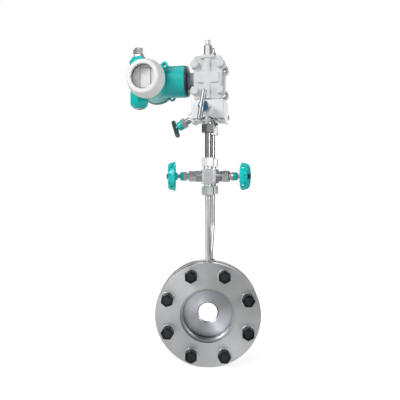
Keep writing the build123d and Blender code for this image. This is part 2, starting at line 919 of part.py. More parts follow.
def spindle(name):
    reach = boss_span(name)[1]
    if name == "side":
        nose = -reach + 2.5
    else:
        nose = -reach - (manifold_deep / 2 - half_spacing) + 1.0
    spigot_r = wheel_spigot_d / 2
    shoulder = handle_seat - 0.3
    end = handle_seat + handle_grip_deep - 0.2
    return turned(
        [
            (0, nose),
            (1.0, nose),
            (stem_r - 0.5, nose + 3),
            (stem_r - 0.5, nose + 4),
            (stem_r, nose + 4.5),
            (stem_r, shoulder),
            (spigot_r, shoulder),
            (spigot_r, end),
            (0, end),
        ]
    )


# T-handle: a round bar through a turned hub, made as one piece
def t_handle(spin):
    hub_r = handle_hub_d / 2
    hub = turned(
        [
            (0, handle_seat),
            (hub_r - 1, handle_seat),
            (hub_r, handle_seat + 1),
            (hub_r, handle_seat + handle_hub_long - 1),
            (hub_r - 1, handle_seat + handle_hub_long),
            (0, handle_seat + handle_hub_long),
        ]
    )
    bar_r = handle_bar_d / 2
    half = handle_bar_long / 2
    bar = turned(
        [
            (0, -half),
            (bar_r - 1, -half),
            (bar_r, -half + 1),
            (bar_r, half - 1),
            (bar_r - 1, half),
            (0, half),
        ]
    )
    lying = aim((0, 0, handle_mid), (math.sin(math.radians(spin)), math.cos(math.radians(spin)), 0))
    handle = hub + lying * bar
    return handle - rod(wheel_spigot_d + 2 * stem_clear, handle_seat - 1, handle_seat + handle_grip_deep)


def on_spindle(shape, name):
    return tower(spindle_place(name) * shape)


manifold_block = tower(manifold_body())
manifold_bonnets = group([on_spindle(spindle_bonnet(), name) for name in spindle_names])
manifold_gland_nuts = group([on_spindle(spindle_cap(), name) for name in spindle_names])
spindles = {name: on_spindle(spindle(name), name) for name in spindle_names}
handles = {name: on_spindle(t_handle(bar_spins[name]), name) for name in spindle_names}
spindle_packing_end = spindle_bonnet_long - gland_nose_long
spindle_packings = [on_spindle(packing_ring(spindle_packing_end), name) for name in spindle_names]
stem_packings = group(line_packings + spindle_packings)


# Bolts that hold the manifold up against the process flanges, and the two port seals
def manifold_bolt():
    seat = manifold_base_z + 2
    head = hex_bar(manifold_bolt_across, seat - manifold_bolt_head, seat)
    return head + rod(manifold_bolt_d, seat, manifold_top_z + manifold_bolt_reach)


bolt_places = [(u, v) for u in (-manifold_bolt_u, manifold_bolt_u) for v in line_vs]
manifold_bolts = group([tower(Pos(u, v, 0) * manifold_bolt()) for u, v in bolt_places])


def port_seal():
    base = manifold_top_z - manifold_seal_thick
    seal = rod(manifold_seal_d - 0.1, base, manifold_top_z)
    return seal - rod(manifold_passage_d, base - 1, manifold_top_z + 1)


manifold_seals = group([tower(Pos(0, v, 0) * port_seal()) for v in line_vs])


# Process flange: a bevelled cover with a raised cross of rib and pad, a boss under the vent valve,
# four bolt ears that bulge past its sides, and drilled ports
def process_flange():
    """Its outer face looks towards -Y and its seat on the capsule is the plane Y 0."""
    thick = process_flange_thick
    plate = Pos(0, -thick / 2, 0) * Box(cell_wide, thick, cell_high)
    plate = fillet(plate.edges().filter_by(Axis.Y), cell_corner)
    front = plate.faces().sort_by(Axis.Y)[0]
    plate = chamfer(front.edges(), process_edge)
    ear_places = cell_bolt_places()
    for u, z in ear_places:
        plate += aim((u, 0, z), (0, -1, 0)) * rod(cell_ear_d, 0, thick)
    pad = Pos(0, -thick - process_pad_raise / 2 + 1, 0) * Box(
        process_pad_wide, process_pad_raise + 2, process_pad_high
    )
    pad = fillet(pad.edges().filter_by(Axis.Y), 5.0)
    rib = Pos(0, -thick - process_pad_raise / 2 + 1, 0) * Box(
        process_rib_wide, process_pad_raise + 2, cell_high - 2 * process_edge
    )
    rib_front = rib.faces().sort_by(Axis.Y)[0]
    rib = chamfer(rib_front.edges().filter_by(Axis.Z), process_pad_raise * 0.7)
    half = cell_high / 2
    boss_deep = port_boss_raise + thick / 2
    boss_y = -thick - port_boss_raise + boss_deep / 2
    boss = Pos(0, boss_y, half - port_boss_high / 2) * Box(port_boss_wide, boss_deep, port_boss_high)
    boss_front = boss.faces().sort_by(Axis.Y)[0]
    boss = chamfer(boss_front.edges(), 1.2)
    plate += pad + rib + boss
    passage_v = -(half_spacing - capsule_deep / 2)
    upright = Pos(0, passage_v, 0)
    plate -= upright * rod(cell_passage_d, -half - 1, half)
    plate -= upright * rod(vent_thread_d + 2 * thread_clear, half - vent_thread_long, half + 1)
    chamber = aim((0, 0, 0), (0, -1, 0)) * rod(cell_chamber_d, -1, cell_chamber_deep)
    link = aim((0, 0, 0), (0, -1, 0)) * rod(cell_passage_d, 0, -passage_v)
    plate -= chamber + link
    for u, z in ear_places:
        plate -= aim((u, 0, z), (0, -1, 0)) * rod(cell_bolt_hole_d, -1, thick + 5)
    for u in (-manifold_bolt_u, manifold_bolt_u):
        hole = rod(manifold_bolt_d + 2 * thread_clear, -half - 1, -half + manifold_bolt_reach + 0.5)
        plate -= Pos(u, passage_v, 0) * hole
    return plate


def cell_bolt_places():
    half_u = cell_bolt_spread_u / 2
    half_z = cell_bolt_spread_z / 2
    return [(u, z) for u in (-half_u, half_u) for z in (-half_z, half_z)]


seat_v = capsule_deep / 2
front_flange_place = Pos(0, -seat_v, cell_mid_z)
front_process_flange = tower(front_flange_place * process_flange())
rear_process_flange = tower(Pos(0, seat_v, cell_mid_z) * Rot(0, 0, 180) * process_flange())


# Capsule body: a drum between the process flanges, waisted where the bolts pass beside it, with the neck
# that carries the head
def capsule():
    high = cell_high - 2 * capsule_drop
    middle = Pos(0, 0, cell_mid_z)
    waist = middle * Box(capsule_wide, capsule_deep, capsule_waist_high)
    waist = fillet(waist.edges().filter_by(Axis.Y), 5.0)
    column = middle * Box(capsule_column_wide, capsule_deep, high)
    column = fillet(column.edges().filter_by(Axis.Y), 5.0)
    drum = aim((0, 0, cell_mid_z), (0, 1, 0)) * rod(cell_seal_d + 4, -seat_v, seat_v)
    neck = aim((0, 0, axis_z), (-1, 0, 0)) * rod(neck_d, capsule_wide / 2 - 2, neck_reach)
    body = waist + column + drum + neck
    for side in (-1, 1):
        face = aim((0, side * seat_v, cell_mid_z), (0, side, 0))
        r = cell_seal_d / 2
        inner_r = r - cell_seal_section
        groove = rod(2 * r, -cell_seal_section, 1) - rod(2 * inner_r, -cell_seal_section - 1, 2)
        body -= face * groove
        body -= face * rod(cell_chamber_d, -0.6, 1)
    return body


capsule_body = tower(capsule())


def cell_seal(side):
    r = cell_seal_d / 2 - 0.05
    inner_r = cell_seal_d / 2 - cell_seal_section + 0.05
    depth = cell_seal_section
    ring = turned([(inner_r, -depth), (r, -depth), (r, 0), (inner_r, 0)])
    return aim((0, side * seat_v, cell_mid_z), (0, side, 0)) * ring


cell_seals = group([tower(cell_seal(side)) for side in (-1, 1)])


# Cell bolts run right through from the front ears to the nuts on the rear ears
def cell_bolt():
    seat = cell_front_v
    head = hex_bar(cell_bolt_across, seat, seat + cell_bolt_head)
    end = -cell_front_v - cell_nut_high - cell_bolt_past_nut
    return head + rod(cell_bolt_d, end, seat)


def cell_nut():
    nut = hex_bar(cell_bolt_across, -cell_front_v - cell_nut_high, -cell_front_v)
    return nut - rod(cell_bolt_d + 2 * thread_clear, -cell_front_v - cell_nut_high - 1, -cell_front_v + 1)


def through_cell(shape, u, z):
    return tower(aim((u, 0, cell_mid_z + z), (0, -1, 0)) * shape)


cell_bolts = group([through_cell(cell_bolt(), *place) for place in cell_bolt_places()])
cell_nuts = group([through_cell(cell_nut(), *place) for place in cell_bolt_places()])


# Vent valve: a tall hexagon body, and the screw with a round cap that opens it
def vent_body():
    top = cell_top_z
    body = rod(vent_thread_d, top - vent_thread_long + 0.5, top)
    body_top = top + vent_hex_high
    body += hex_bar(vent_hex_across, top, body_top)
    body -= rod(vent_screw_d + 2 * stem_clear, body_top - vent_screw_sunk, body_top + 1)
    body -= rod(vent_outlet_d, top - vent_thread_long, body_top)
    outlet = aim((0, 0, body_top - 5), (1, 0, 0)) * rod(vent_outlet_d, 0, vent_hex_across)
    return body - outlet


def vent_screw():
    body_top = cell_top_z + vent_hex_high
    screw_r = vent_screw_d / 2
    cap_r = vent_cap_d / 2
    cap_base = body_top + vent_neck
    cap_top = cap_base + vent_cap_high
    return turned(
        [
            (0, body_top - vent_screw_sunk + 0.5),
            (1.0, body_top - vent_screw_sunk + 0.5),
            (screw_r, body_top - vent_screw_sunk + 2.5),
            (screw_r, cap_base),
            (cap_r - 1, cap_base),
            (cap_r, cap_base + 1.2),
            (cap_r, cap_top - 2.5),
            (cap_r - 1.2, cap_top - 0.8),
            (cap_r - 3.0, cap_top),
            (0, cap_top),
        ]
    )


vent_bodies = group([tower(Pos(0, v, 0) * vent_body()) for v in line_vs])
vent_screws = {name: tower(Pos(0, v, 0) * vent_screw()) for name, v in zip(("front", "rear"), line_vs)}


# Neck: the dark ring that locks the head, and the coloured sleeve round the sensor
def to_left(shape):
    """Carries a shape whose Z is the neck's axis, pointing left from the cell."""
    return tower(aim((0, 0, axis_z), (-1, 0, 0)) * shape)


def neck_locking_ring():
    start = sleeve_end - neck_ring_long
    hole_r = neck_d / 2 + thread_clear
    ring_r = neck_ring_d / 2
    return turned(
        [
            (hole_r, start),
            (neck_ring_face_d / 2, start),
            (ring_r, sleeve_end - neck_ring_rim),
            (ring_r, sleeve_end),
            (hole_r, sleeve_end),
        ]
    )


def sleeve():
    r = sleeve_d / 2
    return turned(
        [
            (r - sleeve_wall, sleeve_end),
            (r - sleeve_edge, sleeve_end),
            (r - 0.7, sleeve_end + 0.7),
            (r, sleeve_end + sleeve_edge),
            (r, sleeve_start),
            (r - sleeve_wall, sleeve_start),
        ]
    )


neck_ring = to_left(neck_locking_ring())


# Head pieces are turned about the housing's own axis, which runs front to back; Z 0 is the tower's middle
def on_head(shape):
    return tower(aim((-head_u, 0, axis_z), (0, -1, 0), (1, 0, 0)) * shape)


cover_base = barrel_front
cover_face = cover_base + cover_long
glass_front = cover_face - window_wall
glass_back = glass_front - glass_thick
ring_back = glass_back - glass_ring_thick
display_front = cover_base + cover_thread_long - display_back
rear_cover_base = -barrel_back
rear_cover_face = rear_cover_base - rear_cover_long


def cover_outline(base, face, step):
    """The outer side of a screw cover, from its broad rim to its rounded face."""
    rim_r = cover_d / 2
    face_r = cover_face_d / 2
    return [
        (rim_r - 1, base),
        (rim_r, base + step),
        (rim_r, base + step * cover_rim_long),
        (rim_r - 1.4, base + step * (cover_rim_long + 2)),
        (face_r + 1.2, face - step * 4),
        (face_r, face - step * 1.6),
        (face_r - 1.6, face),
    ]


def front_cover_shell():
    thread_r = cover_thread_d / 2 + cover_thread_clear
    glass_r = glass_d / 2 + glass_fit
    window_r = window_d / 2
    base = cover_base + cover_gap
    return turned(
        [(cover_recess_r, base)]
        + cover_outline(base, cover_face, 1)
        + [
            (window_r + window_bevel * 1.5, cover_face),
            (window_r, cover_face - window_bevel),
            (window_r, glass_front),
            (glass_r, glass_front),
            (glass_r, ring_back),
            (thread_r, ring_back),
            (thread_r, base + cover_seal_thick),
            (cover_recess_r, base + cover_seal_thick),
        ]
    )


def cover_glass():
    r = glass_d / 2
    return rod(2 * r, glass_back, glass_front)


def glass_clip():
    r = glass_d / 2
    hole_r = glass_ring_d / 2
    return turned([(hole_r, ring_back), (r, ring_back), (r, glass_back), (hole_r, glass_back)])


# Display: a round module in the housing's mouth, with a raised frame round the bare screen
def display_module():
    front = display_front
    module = rod(display_d, front - display_thick, front)
    frame_wide = display_screen_wide + 2 * display_bezel_edge
    frame_high = display_screen_high + 2 * display_bezel_edge
    raise_z = front + display_bezel_raise / 2
    frame = Pos(0, 0, raise_z) * Box(frame_wide, frame_high, display_bezel_raise)
    opening = Pos(0, 0, raise_z) * Box(display_screen_wide, display_screen_high, display_bezel_raise + 2)
    return module + frame - opening


def rear_cover_cup():
    thread_r = cover_thread_d / 2 + cover_thread_clear
    base = rear_cover_base - cover_gap
    floor = rear_cover_face + 5
    return turned(
        [(cover_recess_r, base)]
        + cover_outline(base, rear_cover_face, -1)
        + [
            (0, rear_cover_face),
            (0, floor),
            (thread_r - 2, floor),
            (thread_r, floor + 2),
            (thread_r, base - cover_seal_thick),
            (cover_recess_r, base - cover_seal_thick),
        ]
    )


def cover_seal(base, step):
    """A flat ring in the recess of the cover's mouth, clear of the housing's thread."""
    inner_r = cover_thread_d / 2 + cover_seal_gap
    r = cover_recess_r - cover_seal_clear
    far = base + step * cover_seal_thick
    low, high = min(base, far), max(base, far)
    return turned([(inner_r, low), (r, low), (r, high), (inner_r, high)])


# Housing: a barrel with threaded mouths, the conduit column at the left and the spigot for the sleeve
def housing_casting():
    thread_r = cover_thread_d / 2
    bore_r = head_bore_d / 2
    front_end = barrel_front + cover_thread_long
    back_end = -barrel_back - cover_thread_long
    bore_floor = front_end - display_back - display_thick
    casting = turned(
        [
            (0, back_end),
            (thread_r - 1, back_end),
            (thread_r, back_end + 1),
            (thread_r, -barrel_back),
            (barrel_r, -barrel_back),
            (barrel_r, barrel_front),
            (thread_r, barrel_front),
            (thread_r, front_end - 1),
            (thread_r - 1, front_end),
            (bore_r, front_end),
            (bore_r, bore_floor),
            (0, bore_floor),
        ]
    )
    housing = aim((-head_u, 0, axis_z), (0, -1, 0), (1, 0, 0)) * casting
    return housing


def conduit_column():
    """A round column with a flared top boss and a hexagon boss that tapers at its lower end."""
    top = axis_z + conduit_top_rise
    base = axis_z - conduit_base_drop
    shoulder = base + conduit_base_tall
    top_r = conduit_top_d / 2
    flare_r = conduit_top_flare / 2
    cone_base = top - conduit_top_cone
    column = rod(conduit_d, shoulder - 1, cone_base)
    column += turned(
        [
            (0, cone_base - conduit_top_cone),
            (conduit_d / 2, cone_base - conduit_top_cone),
            (flare_r, cone_base),
            (top_r, top),
            (0, top),
        ]
    )
    corner_r = conduit_base_across / math.sqrt(3)
    taper = turned(
        [
            (0, base),
            (conduit_base_end_d / 2, base),
            (corner_r, base + conduit_base_cone),
            (corner_r, shoulder + 1),
            (0, shoulder + 1),
        ]
    )
    column += hex_bar(conduit_base_across, base, shoulder, conduit_base_spin) & taper
    top_bore = rod(conduit_bore_d, top - conduit_bore_deep, top + 1)
    base_bore = rod(conduit_bore_d, base - 1, base + conduit_bore_deep)
    place = Pos(-conduit_u, conduit_v, 0)
    return place * column, place * (top_bore + base_bore)


def cover_lug(angle_deg, start_v, long):
    """A small drilled ear beside the barrel, for a cover's locking screw."""
    angle = math.radians(angle_deg)
    root_r = lug_r - lug_d / 2
    mid_v = start_v + long / 2
    u = -head_u + lug_r * math.cos(angle)
    z = axis_z + lug_r * math.sin(angle)
    root_u = -head_u + root_r * math.cos(angle)
    root_z = axis_z + root_r * math.sin(angle)
    lug = aim((u, start_v, z), (0, 1, 0)) * rod(lug_d, 0, long)
    root = Pos(root_u, mid_v, root_z) * Rot(0, -angle_deg, 0) * Box(lug_d * 1.1, long, lug_d * 0.9)
    hole = aim((u, mid_v, z), (0, 1, 0)) * rod(lug_hole_d, -long, long)
    return lug + root, hole


def housing_body():
    housing = housing_casting()
    column, bores = conduit_column()
    front_lug, front_hole = cover_lug(front_lug_angle, -barrel_front + 1, front_lug_long)
    rear_lug, rear_hole = cover_lug(rear_lug_angle, barrel_back - 1 - rear_lug_long, rear_lug_long)
    to_cell = aim((0, 0, axis_z), (-1, 0, 0))
    inside_u = head_u - barrel_r / 2
    spigot = to_cell * rod(spigot_d, sleeve_start - spigot_long, inside_u)
    collar = to_cell * rod(sleeve_d - 2 * collar_step, sleeve_start, inside_u)
    core = aim((-head_u, 0, axis_z), (0, -1, 0)) * rod(cover_thread_d, -barrel_back, barrel_front)
    housing += (column + front_lug + rear_lug + collar + spigot) - core
    return housing - bores - front_hole - rear_hole


sensor_sleeve = to_left(sleeve())
housing = tower(housing_body())
front_cover = on_head(front_cover_shell())
window_glass = on_head(cover_glass())
glass_ring = on_head(glass_clip())
display_panel = on_head(display_module())
rear_cover = on_head(rear_cover_cup())
front_cover_seal = on_head(cover_seal(cover_base + cover_gap, 1))
rear_cover_seal = on_head(cover_seal(rear_cover_base - cover_gap, -1))


# Cable gland above the column and blind plug below it
def at_conduit(shape, z):
    return tower(Pos(-conduit_u, conduit_v, z) * shape)


def cable_gland():
    thread = rod(conduit_bore_d - 2 * thread_clear, -gland_thread_long, 0)
    body = thread + hex_bar(gland_hex_across, 0, gland_hex_high)
    body += rod(gland_seal_d, gland_hex_high, gland_hex_high + gland_cap_high - gland_end_wall)
    return body - rod(cable_hole_d, -gland_thread_long - 1, gland_hex_high + gland_cap_high)


def gland_cap():
    base = gland_hex_high
    top = base + gland_cap_high
    dome = top - gland_dome_high
    cap = hex_bar(gland_cap_across, base, dome, spin=30)
    cap += turned([(0, dome), (gland_cap_across / 2 - 0.6, dome), (gland_dome_d / 2, top), (0, top)])
    cap -= rod(gland_seal_d + 2 * thread_clear, base - 1, top - gland_end_wall)
    return cap - rod(cable_hole_d + 1, base, top + 1)


def blind_plug():
    thread = rod(conduit_bore_d - 2 * thread_clear, 0, gland_thread_long)
    head_r = blind_plug_d / 2
    head = turned([
        (0, -blind_plug_high),
        (head_r - 0.5, -blind_plug_high),
        (head_r, -blind_plug_high / 2),
        (head_r, 0),
        (0, 0),
    ])
    socket = extrude(RegularPolygon(blind_socket_across / 2, 6, major_radius=False), 6)
    return thread + head - Pos(0, 0, -blind_plug_high - 1) * socket


conduit_top_z = axis_z + conduit_top_rise
conduit_base_z = axis_z - conduit_base_drop
cable_gland_body = at_conduit(cable_gland(), conduit_top_z)
gland_cap_nut = at_conduit(gland_cap(), conduit_top_z)
conduit_plug = at_conduit(blind_plug(), conduit_base_z)

# Every piece by the name of its file
pieces = {
    "front_flange": front_flange,
    "rear_flange": rear_flange,
    "orifice_plate": orifice_plate,
    "flange_gaskets": flange_gaskets,
    "flange_studs": flange_studs,
    "flange_nuts": flange_nuts,
    "flange_washers": flange_washers,
    "front_lower_tube": front_lower_tube,
    "rear_lower_tube": rear_lower_tube,
    "front_upper_tube": front_upper_tube,
    "rear_upper_tube": rear_upper_tube,
    "line_union_nuts": line_union_nuts,
    "manifold_union_nuts": manifold_union_nuts,
    "union_ferrules": union_ferrules,
    "manifold_nipples": manifold_nipples,
    "valve_gland_nuts": valve_gland_nuts,
    "stem_packings": stem_packings,
    "manifold_block": manifold_block,
    "manifold_bonnets": manifold_bonnets,
    "manifold_gland_nuts": manifold_gland_nuts,
    "manifold_bolts": manifold_bolts,
    "manifold_seals": manifold_seals,
    "capsule_body": capsule_body,
    "front_process_flange": front_process_flange,
    "rear_process_flange": rear_process_flange,
    "cell_seals": cell_seals,
    "cell_bolts": cell_bolts,
    "cell_nuts": cell_nuts,
    "vent_bodies": vent_bodies,
    "neck_ring": neck_ring,
    "sensor_sleeve": sensor_sleeve,
    "housing": housing,
    "front_cover": front_cover,
    "window_glass": window_glass,
    "glass_ring": glass_ring,
    "display_panel": display_panel,
    "front_cover_seal": front_cover_seal,
    "rear_cover": rear_cover,
    "rear_cover_seal": rear_cover_seal,
    "cable_gland": cable_gland_body,
    "gland_cap_nut": gland_cap_nut,
    "blind_plug": conduit_plug,
}
for name in valve_places:
    pieces[name + "_valve_body"] = valve_bodies[name]
    pieces[name + "_valve_bonnet"] = valve_bonnets[name]
    pieces[name + "_valve_stem"] = valve_stems[name]
    pieces[name + "_handwheel"] = handwheels[name]
    pieces[name + "_wheel_nut"] = wheel_nuts[name]
    pieces[name + "_vent_screw"] = vent_screws[name]
for name in spindle_names:
    pieces[name + "_spindle"] = spindles[name]
    pieces[name + "_t_handle"] = handles[name]

os.makedirs("parts", exist_ok=True)
for name, shape in pieces.items():
    export_step(shape, "parts/" + name + ".step")
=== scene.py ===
import json
import math
from itertools import product

import bmesh
import bpy
from mathutils import Matrix, Vector


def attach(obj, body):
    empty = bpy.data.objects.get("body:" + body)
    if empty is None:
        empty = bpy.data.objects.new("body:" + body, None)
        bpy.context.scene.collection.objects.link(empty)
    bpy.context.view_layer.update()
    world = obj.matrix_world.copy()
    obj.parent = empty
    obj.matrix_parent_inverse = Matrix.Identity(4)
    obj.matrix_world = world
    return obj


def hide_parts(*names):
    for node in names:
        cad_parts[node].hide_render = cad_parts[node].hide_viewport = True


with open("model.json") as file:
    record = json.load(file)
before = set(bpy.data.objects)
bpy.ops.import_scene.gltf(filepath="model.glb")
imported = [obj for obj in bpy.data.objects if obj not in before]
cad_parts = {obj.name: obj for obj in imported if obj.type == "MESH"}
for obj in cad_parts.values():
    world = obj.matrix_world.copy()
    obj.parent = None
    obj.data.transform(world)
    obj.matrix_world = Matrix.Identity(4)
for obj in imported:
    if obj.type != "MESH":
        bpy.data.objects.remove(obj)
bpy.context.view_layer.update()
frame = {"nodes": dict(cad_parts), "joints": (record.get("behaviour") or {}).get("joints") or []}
nodes = frame["nodes"]

# Camera: it stands level with the line valves, 0.88 m in front of the flange, and looks slightly down,
# with the lens that gives the photograph's perspective in a square frame.
film_width = 36.0
lens_length = 38.7
camera_at = (0.0114, -0.8750, 0.2887)
camera_pitch = 86.805
camera_yaw = 1.8
scene = bpy.context.scene
scene.view_settings.view_transform = "Standard"
camera_data = bpy.data.cameras.new("studio_camera")
camera_data.sensor_width = film_width
camera_data.lens = lens_length
camera = bpy.data.objects.new("studio_camera", camera_data)
camera.location = camera_at
camera.rotation_euler = (math.radians(camera_pitch), 0.0, math.radians(camera_yaw))
scene.collection.objects.link(camera)
scene.camera = camera

# Studio lamps: rectangular softboxes, the strongest at the left, with a weaker one at the right, a faint
# one above and one behind that lights the edges.
lamp_target = Vector((0, 0, 0.25))


def soft_lamp(name, place, width, height, power):
    """A softbox that faces the middle of the object."""
    data = bpy.data.lights.new(name, "AREA")
    data.shape = "RECTANGLE"
    data.size = width
    data.size_y = height
    data.energy = power
    lamp = bpy.data.objects.new(name, data)
    lamp.location = place
    lamp.rotation_euler = (lamp_target - Vector(place)).to_track_quat("-Z", "Y").to_euler()
    scene.collection.objects.link(lamp)


soft_lamp("lamp_left", (-1.2, -1.1, 1.2), width=0.7, height=0.8, power=23)
soft_lamp("lamp_right", (1.5, -0.9, 0.7), width=0.5, height=1.0, power=14)
soft_lamp("lamp_top", (-0.1, 0.1, 1.7), width=1.0, height=0.8, power=4)
soft_lamp("lamp_back", (0.3, 1.5, 0.9), width=1.2, height=0.8, power=6)

# Studio walls: bright before and behind the object and dark at its two sides, which draws the dark lines
# along the polished tubes. The camera itself sees plain white.
# Each wall's greys run from before the object (0) to behind it (1).
left_wall = ((0.0, 0.55), (0.22, 0.66), (0.29, 0.06), (0.42, 0.05), (0.50, 0.3), (0.75, 0.2), (1.0, 0.1))
right_wall = ((0.0, 0.55), (0.13, 0.5), (0.2, 0.05), (0.46, 0.05), (0.54, 0.3), (0.75, 0.2), (1.0, 0.1))
wall_blend = 0.12


def split(tree, source):
    parts = tree.nodes.new("ShaderNodeSeparateXYZ")
    tree.links.new(source, parts.inputs[0])
    return parts.outputs


def spread(tree, source, low, high, start=0.3, end=0.7):
    """Maps a value that runs from start to end, such as a noise's, to one from low to high."""
    ramp = tree.nodes.new("ShaderNodeMapRange")
    ramp.inputs["From Min"].default_value = start
    ramp.inputs["From Max"].default_value = end
    ramp.inputs["To Min"].default_value = low
    ramp.inputs["To Max"].default_value = high
    tree.links.new(source, ramp.inputs["Value"])
    return ramp.outputs["Result"]


def mix_colours(tree, share, first, second):
    """Mixes two colours, each given as a fixed colour or as a socket."""
    mix = tree.nodes.new("ShaderNodeMix")
    mix.data_type = "RGBA"
    tree.links.new(share, mix.inputs[0])
    for colour, slot in ((first, mix.inputs[6]), (second, mix.inputs[7])):
        if isinstance(colour, tuple):
            slot.default_value = colour
        else:
            tree.links.new(colour, slot)
    return mix.outputs[2]


def mix_shaders(tree, share, first, second):
    mix = tree.nodes.new("ShaderNodeMixShader")
    tree.links.new(share, mix.inputs["Fac"])
    tree.links.new(first, mix.inputs[1])
    tree.links.new(second, mix.inputs[2])
    return mix.outputs[0]


def wall_greys(tree, source, stops):
    ramp = tree.nodes.new("ShaderNodeValToRGB")
    marks = ramp.color_ramp.elements
    while len(marks) < len(stops):
        marks.new(0.5)
    for mark, (position, grey) in zip(marks, stops):
        mark.position = position
        mark.color = (grey, grey, grey, 1)
    tree.links.new(source, ramp.inputs["Fac"])
    return ramp.outputs["Color"]


walls = bpy.data.worlds.new("studio_walls")
scene.world = walls
walls.use_nodes = True
wall_tree = walls.node_tree
wall_tree.nodes.clear()
direction = split(wall_tree, wall_tree.nodes.new("ShaderNodeTexCoord").outputs["Generated"])
front_to_back = spread(wall_tree, direction["Y"], 0.0, 1.0, start=-1.0, end=1.0)
left_to_right = spread(wall_tree, direction["X"], 0.0, 1.0, start=-wall_blend, end=wall_blend)
both_walls = mix_colours(
    wall_tree, left_to_right,
    wall_greys(wall_tree, front_to_back, left_wall), wall_greys(wall_tree, front_to_back, right_wall),
)
wall_light = wall_tree.nodes.new("ShaderNodeBackground")
wall_tree.links.new(both_walls, wall_light.inputs["Color"])
plain_white = wall_tree.nodes.new("ShaderNodeBackground")
plain_white.inputs["Color"].default_value = (1, 1, 1, 1)
wall_rays = wall_tree.nodes.new("ShaderNodeLightPath")
seen_walls = mix_shaders(
    wall_tree, wall_rays.outputs["Is Camera Ray"], wall_light.outputs[0], plain_white.outputs[0]
)
wall_out = wall_tree.nodes.new("ShaderNodeOutputWorld")
wall_tree.links.new(seen_walls, wall_out.inputs["Surface"])

# Floor: a white sheet under the flange. It keeps the object's soft shadow, glows to plain white for the
# camera further out, and is dimmer in the metal's reflections towards the front right.
floor_size = 12.0
floor_z = -0.1102
floor_white = (0.8, 0.8, 0.8, 1)
near_glow, far_glow = 0.55, 1.0
glow_near_at, glow_far_at = 0.2, 2.0
dim_direction = (0.72, -0.18, 0.0)
mirrored_bright, mirrored_dim = 1.05, 0.17
dim_from, dim_to = -0.35, 0.5


def vector_step(tree, operation, source, value=None):
    step = tree.nodes.new("ShaderNodeVectorMath")
    step.operation = operation
    tree.links.new(source, step.inputs[0])
    if value:
        step.inputs[1].default_value = value
    return step.outputs


def multiply(tree, first, second):
    times = tree.nodes.new("ShaderNodeMath")
    times.operation = "MULTIPLY"
    tree.links.new(first, times.inputs[0])
    tree.links.new(second, times.inputs[1])
    return times.outputs[0]


def glow(tree, strength):
    light = tree.nodes.new("ShaderNodeEmission")
    tree.links.new(strength, light.inputs["Strength"])
    return light.outputs[0]


bpy.ops.mesh.primitive_grid_add(x_subdivisions=4, y_subdivisions=4, size=floor_size, location=(0, 0, floor_z))
floor = bpy.context.object
floor.name = "floor"
floor_paint = bpy.data.materials.new("floor_white")
floor_paint.use_nodes = True
floor_tree = floor_paint.node_tree
floor_tree.nodes.clear()
floor_at = floor_tree.nodes.new("ShaderNodeTexCoord").outputs["Object"]
floor_rays = floor_tree.nodes.new("ShaderNodeLightPath").outputs
slope = vector_step(floor_tree, "DOT_PRODUCT", floor_at, dim_direction)["Value"]
mirrored_floor = glow(floor_tree, spread(floor_tree, slope, mirrored_bright, mirrored_dim, dim_from, dim_to))
distance = vector_step(floor_tree, "LENGTH", floor_at)["Value"]
glow_there = spread(floor_tree, distance, near_glow, far_glow, glow_near_at, glow_far_at)
lit_floor = floor_tree.nodes.new("ShaderNodeAddShader")
floor_matt = floor_tree.nodes.new("ShaderNodeBsdfDiffuse")
floor_matt.inputs["Color"].default_value = floor_white
floor_tree.links.new(floor_matt.outputs[0], lit_floor.inputs[0])
floor_tree.links.new(
    glow(floor_tree, multiply(floor_tree, floor_rays["Is Camera Ray"], glow_there)), lit_floor.inputs[1]
)
seen_floor = mix_shaders(floor_tree, floor_rays["Is Glossy Ray"], lit_floor.outputs[0], mirrored_floor)
floor_out = floor_tree.nodes.new("ShaderNodeOutputMaterial")
floor_tree.links.new(seen_floor, floor_out.inputs["Surface"])
floor.data.materials.append(floor_paint)

# Flanges: two forged steel discs, turned on the lathe on every face and drilled. The turning leaves fine
# rings round the bore, so that their sheen fans out from the middle. Painted highlight and shade strengthen
# it in two pairs of wedges, and painted shade darkens the bore's wall towards the plate.
from_pipe_axis = (1, 0, 1)
bore_edge = (0.0576, 0.0580)
# Painted shade on the bore's wall: how deep towards the plate it reaches, its side and its spread.
bore_shade_depth = (0.004, 0.016)
bore_shade_side = (-0.6, 0.0, -0.8)
bore_shade_reach = (-0.02, 0.04)


def linear(r, g, b):
    """The shader's colour for one read off from 0 to 255."""
    out = []
    for value in (r, g, b):
        v = value / 255.0
        out.append(v / 12.92 if v <= 0.04045 else ((v + 0.055) / 1.055) ** 2.4)
    return (out[0], out[1], out[2], 1.0)


def blank_material(name):
    material = bpy.data.materials.new(name)
    material.use_nodes = True
    tree = material.node_tree
    tree.nodes.clear()
    out = tree.nodes.new("ShaderNodeOutputMaterial")
    shader = tree.nodes.new("ShaderNodeBsdfPrincipled")
    tree.links.new(shader.outputs[0], out.inputs["Surface"])
    return material, tree, shader


def shader_of(material):
    return next(n for n in material.node_tree.nodes if n.type == "BSDF_PRINCIPLED")


def place_noise(tree, scale, detail, stretch=(1, 1, 1)):
    """Noise fixed to the piece, in lumps per metre."""
    coord = tree.nodes.new("ShaderNodeTexCoord")
    mapping = tree.nodes.new("ShaderNodeMapping")
    mapping.inputs["Scale"].default_value = stretch
    noise = tree.nodes.new("ShaderNodeTexNoise")
    noise.inputs["Scale"].default_value = scale
    noise.inputs["Detail"].default_value = detail
    tree.links.new(coord.outputs["Object"], mapping.inputs["Vector"])
    tree.links.new(mapping.outputs[0], noise.inputs["Vector"])
    return noise.outputs["Fac"]


def two_tone(tree, source, dark, light):
    return mix_colours(tree, spread(tree, source, 0.0, 1.0), dark, light)


def raise_bump(tree, shader, source, strength, depth):
    bump = tree.nodes.new("ShaderNodeBump")
    bump.inputs["Strength"].default_value = strength
    bump.inputs["Distance"].default_value = depth
    tree.links.new(source, bump.inputs["Height"])
    tree.links.new(bump.outputs["Normal"], shader.inputs["Normal"])


def dress(material, *names):
    for name in names:
        nodes[name].data.materials.clear()
        nodes[name].data.materials.append(material)


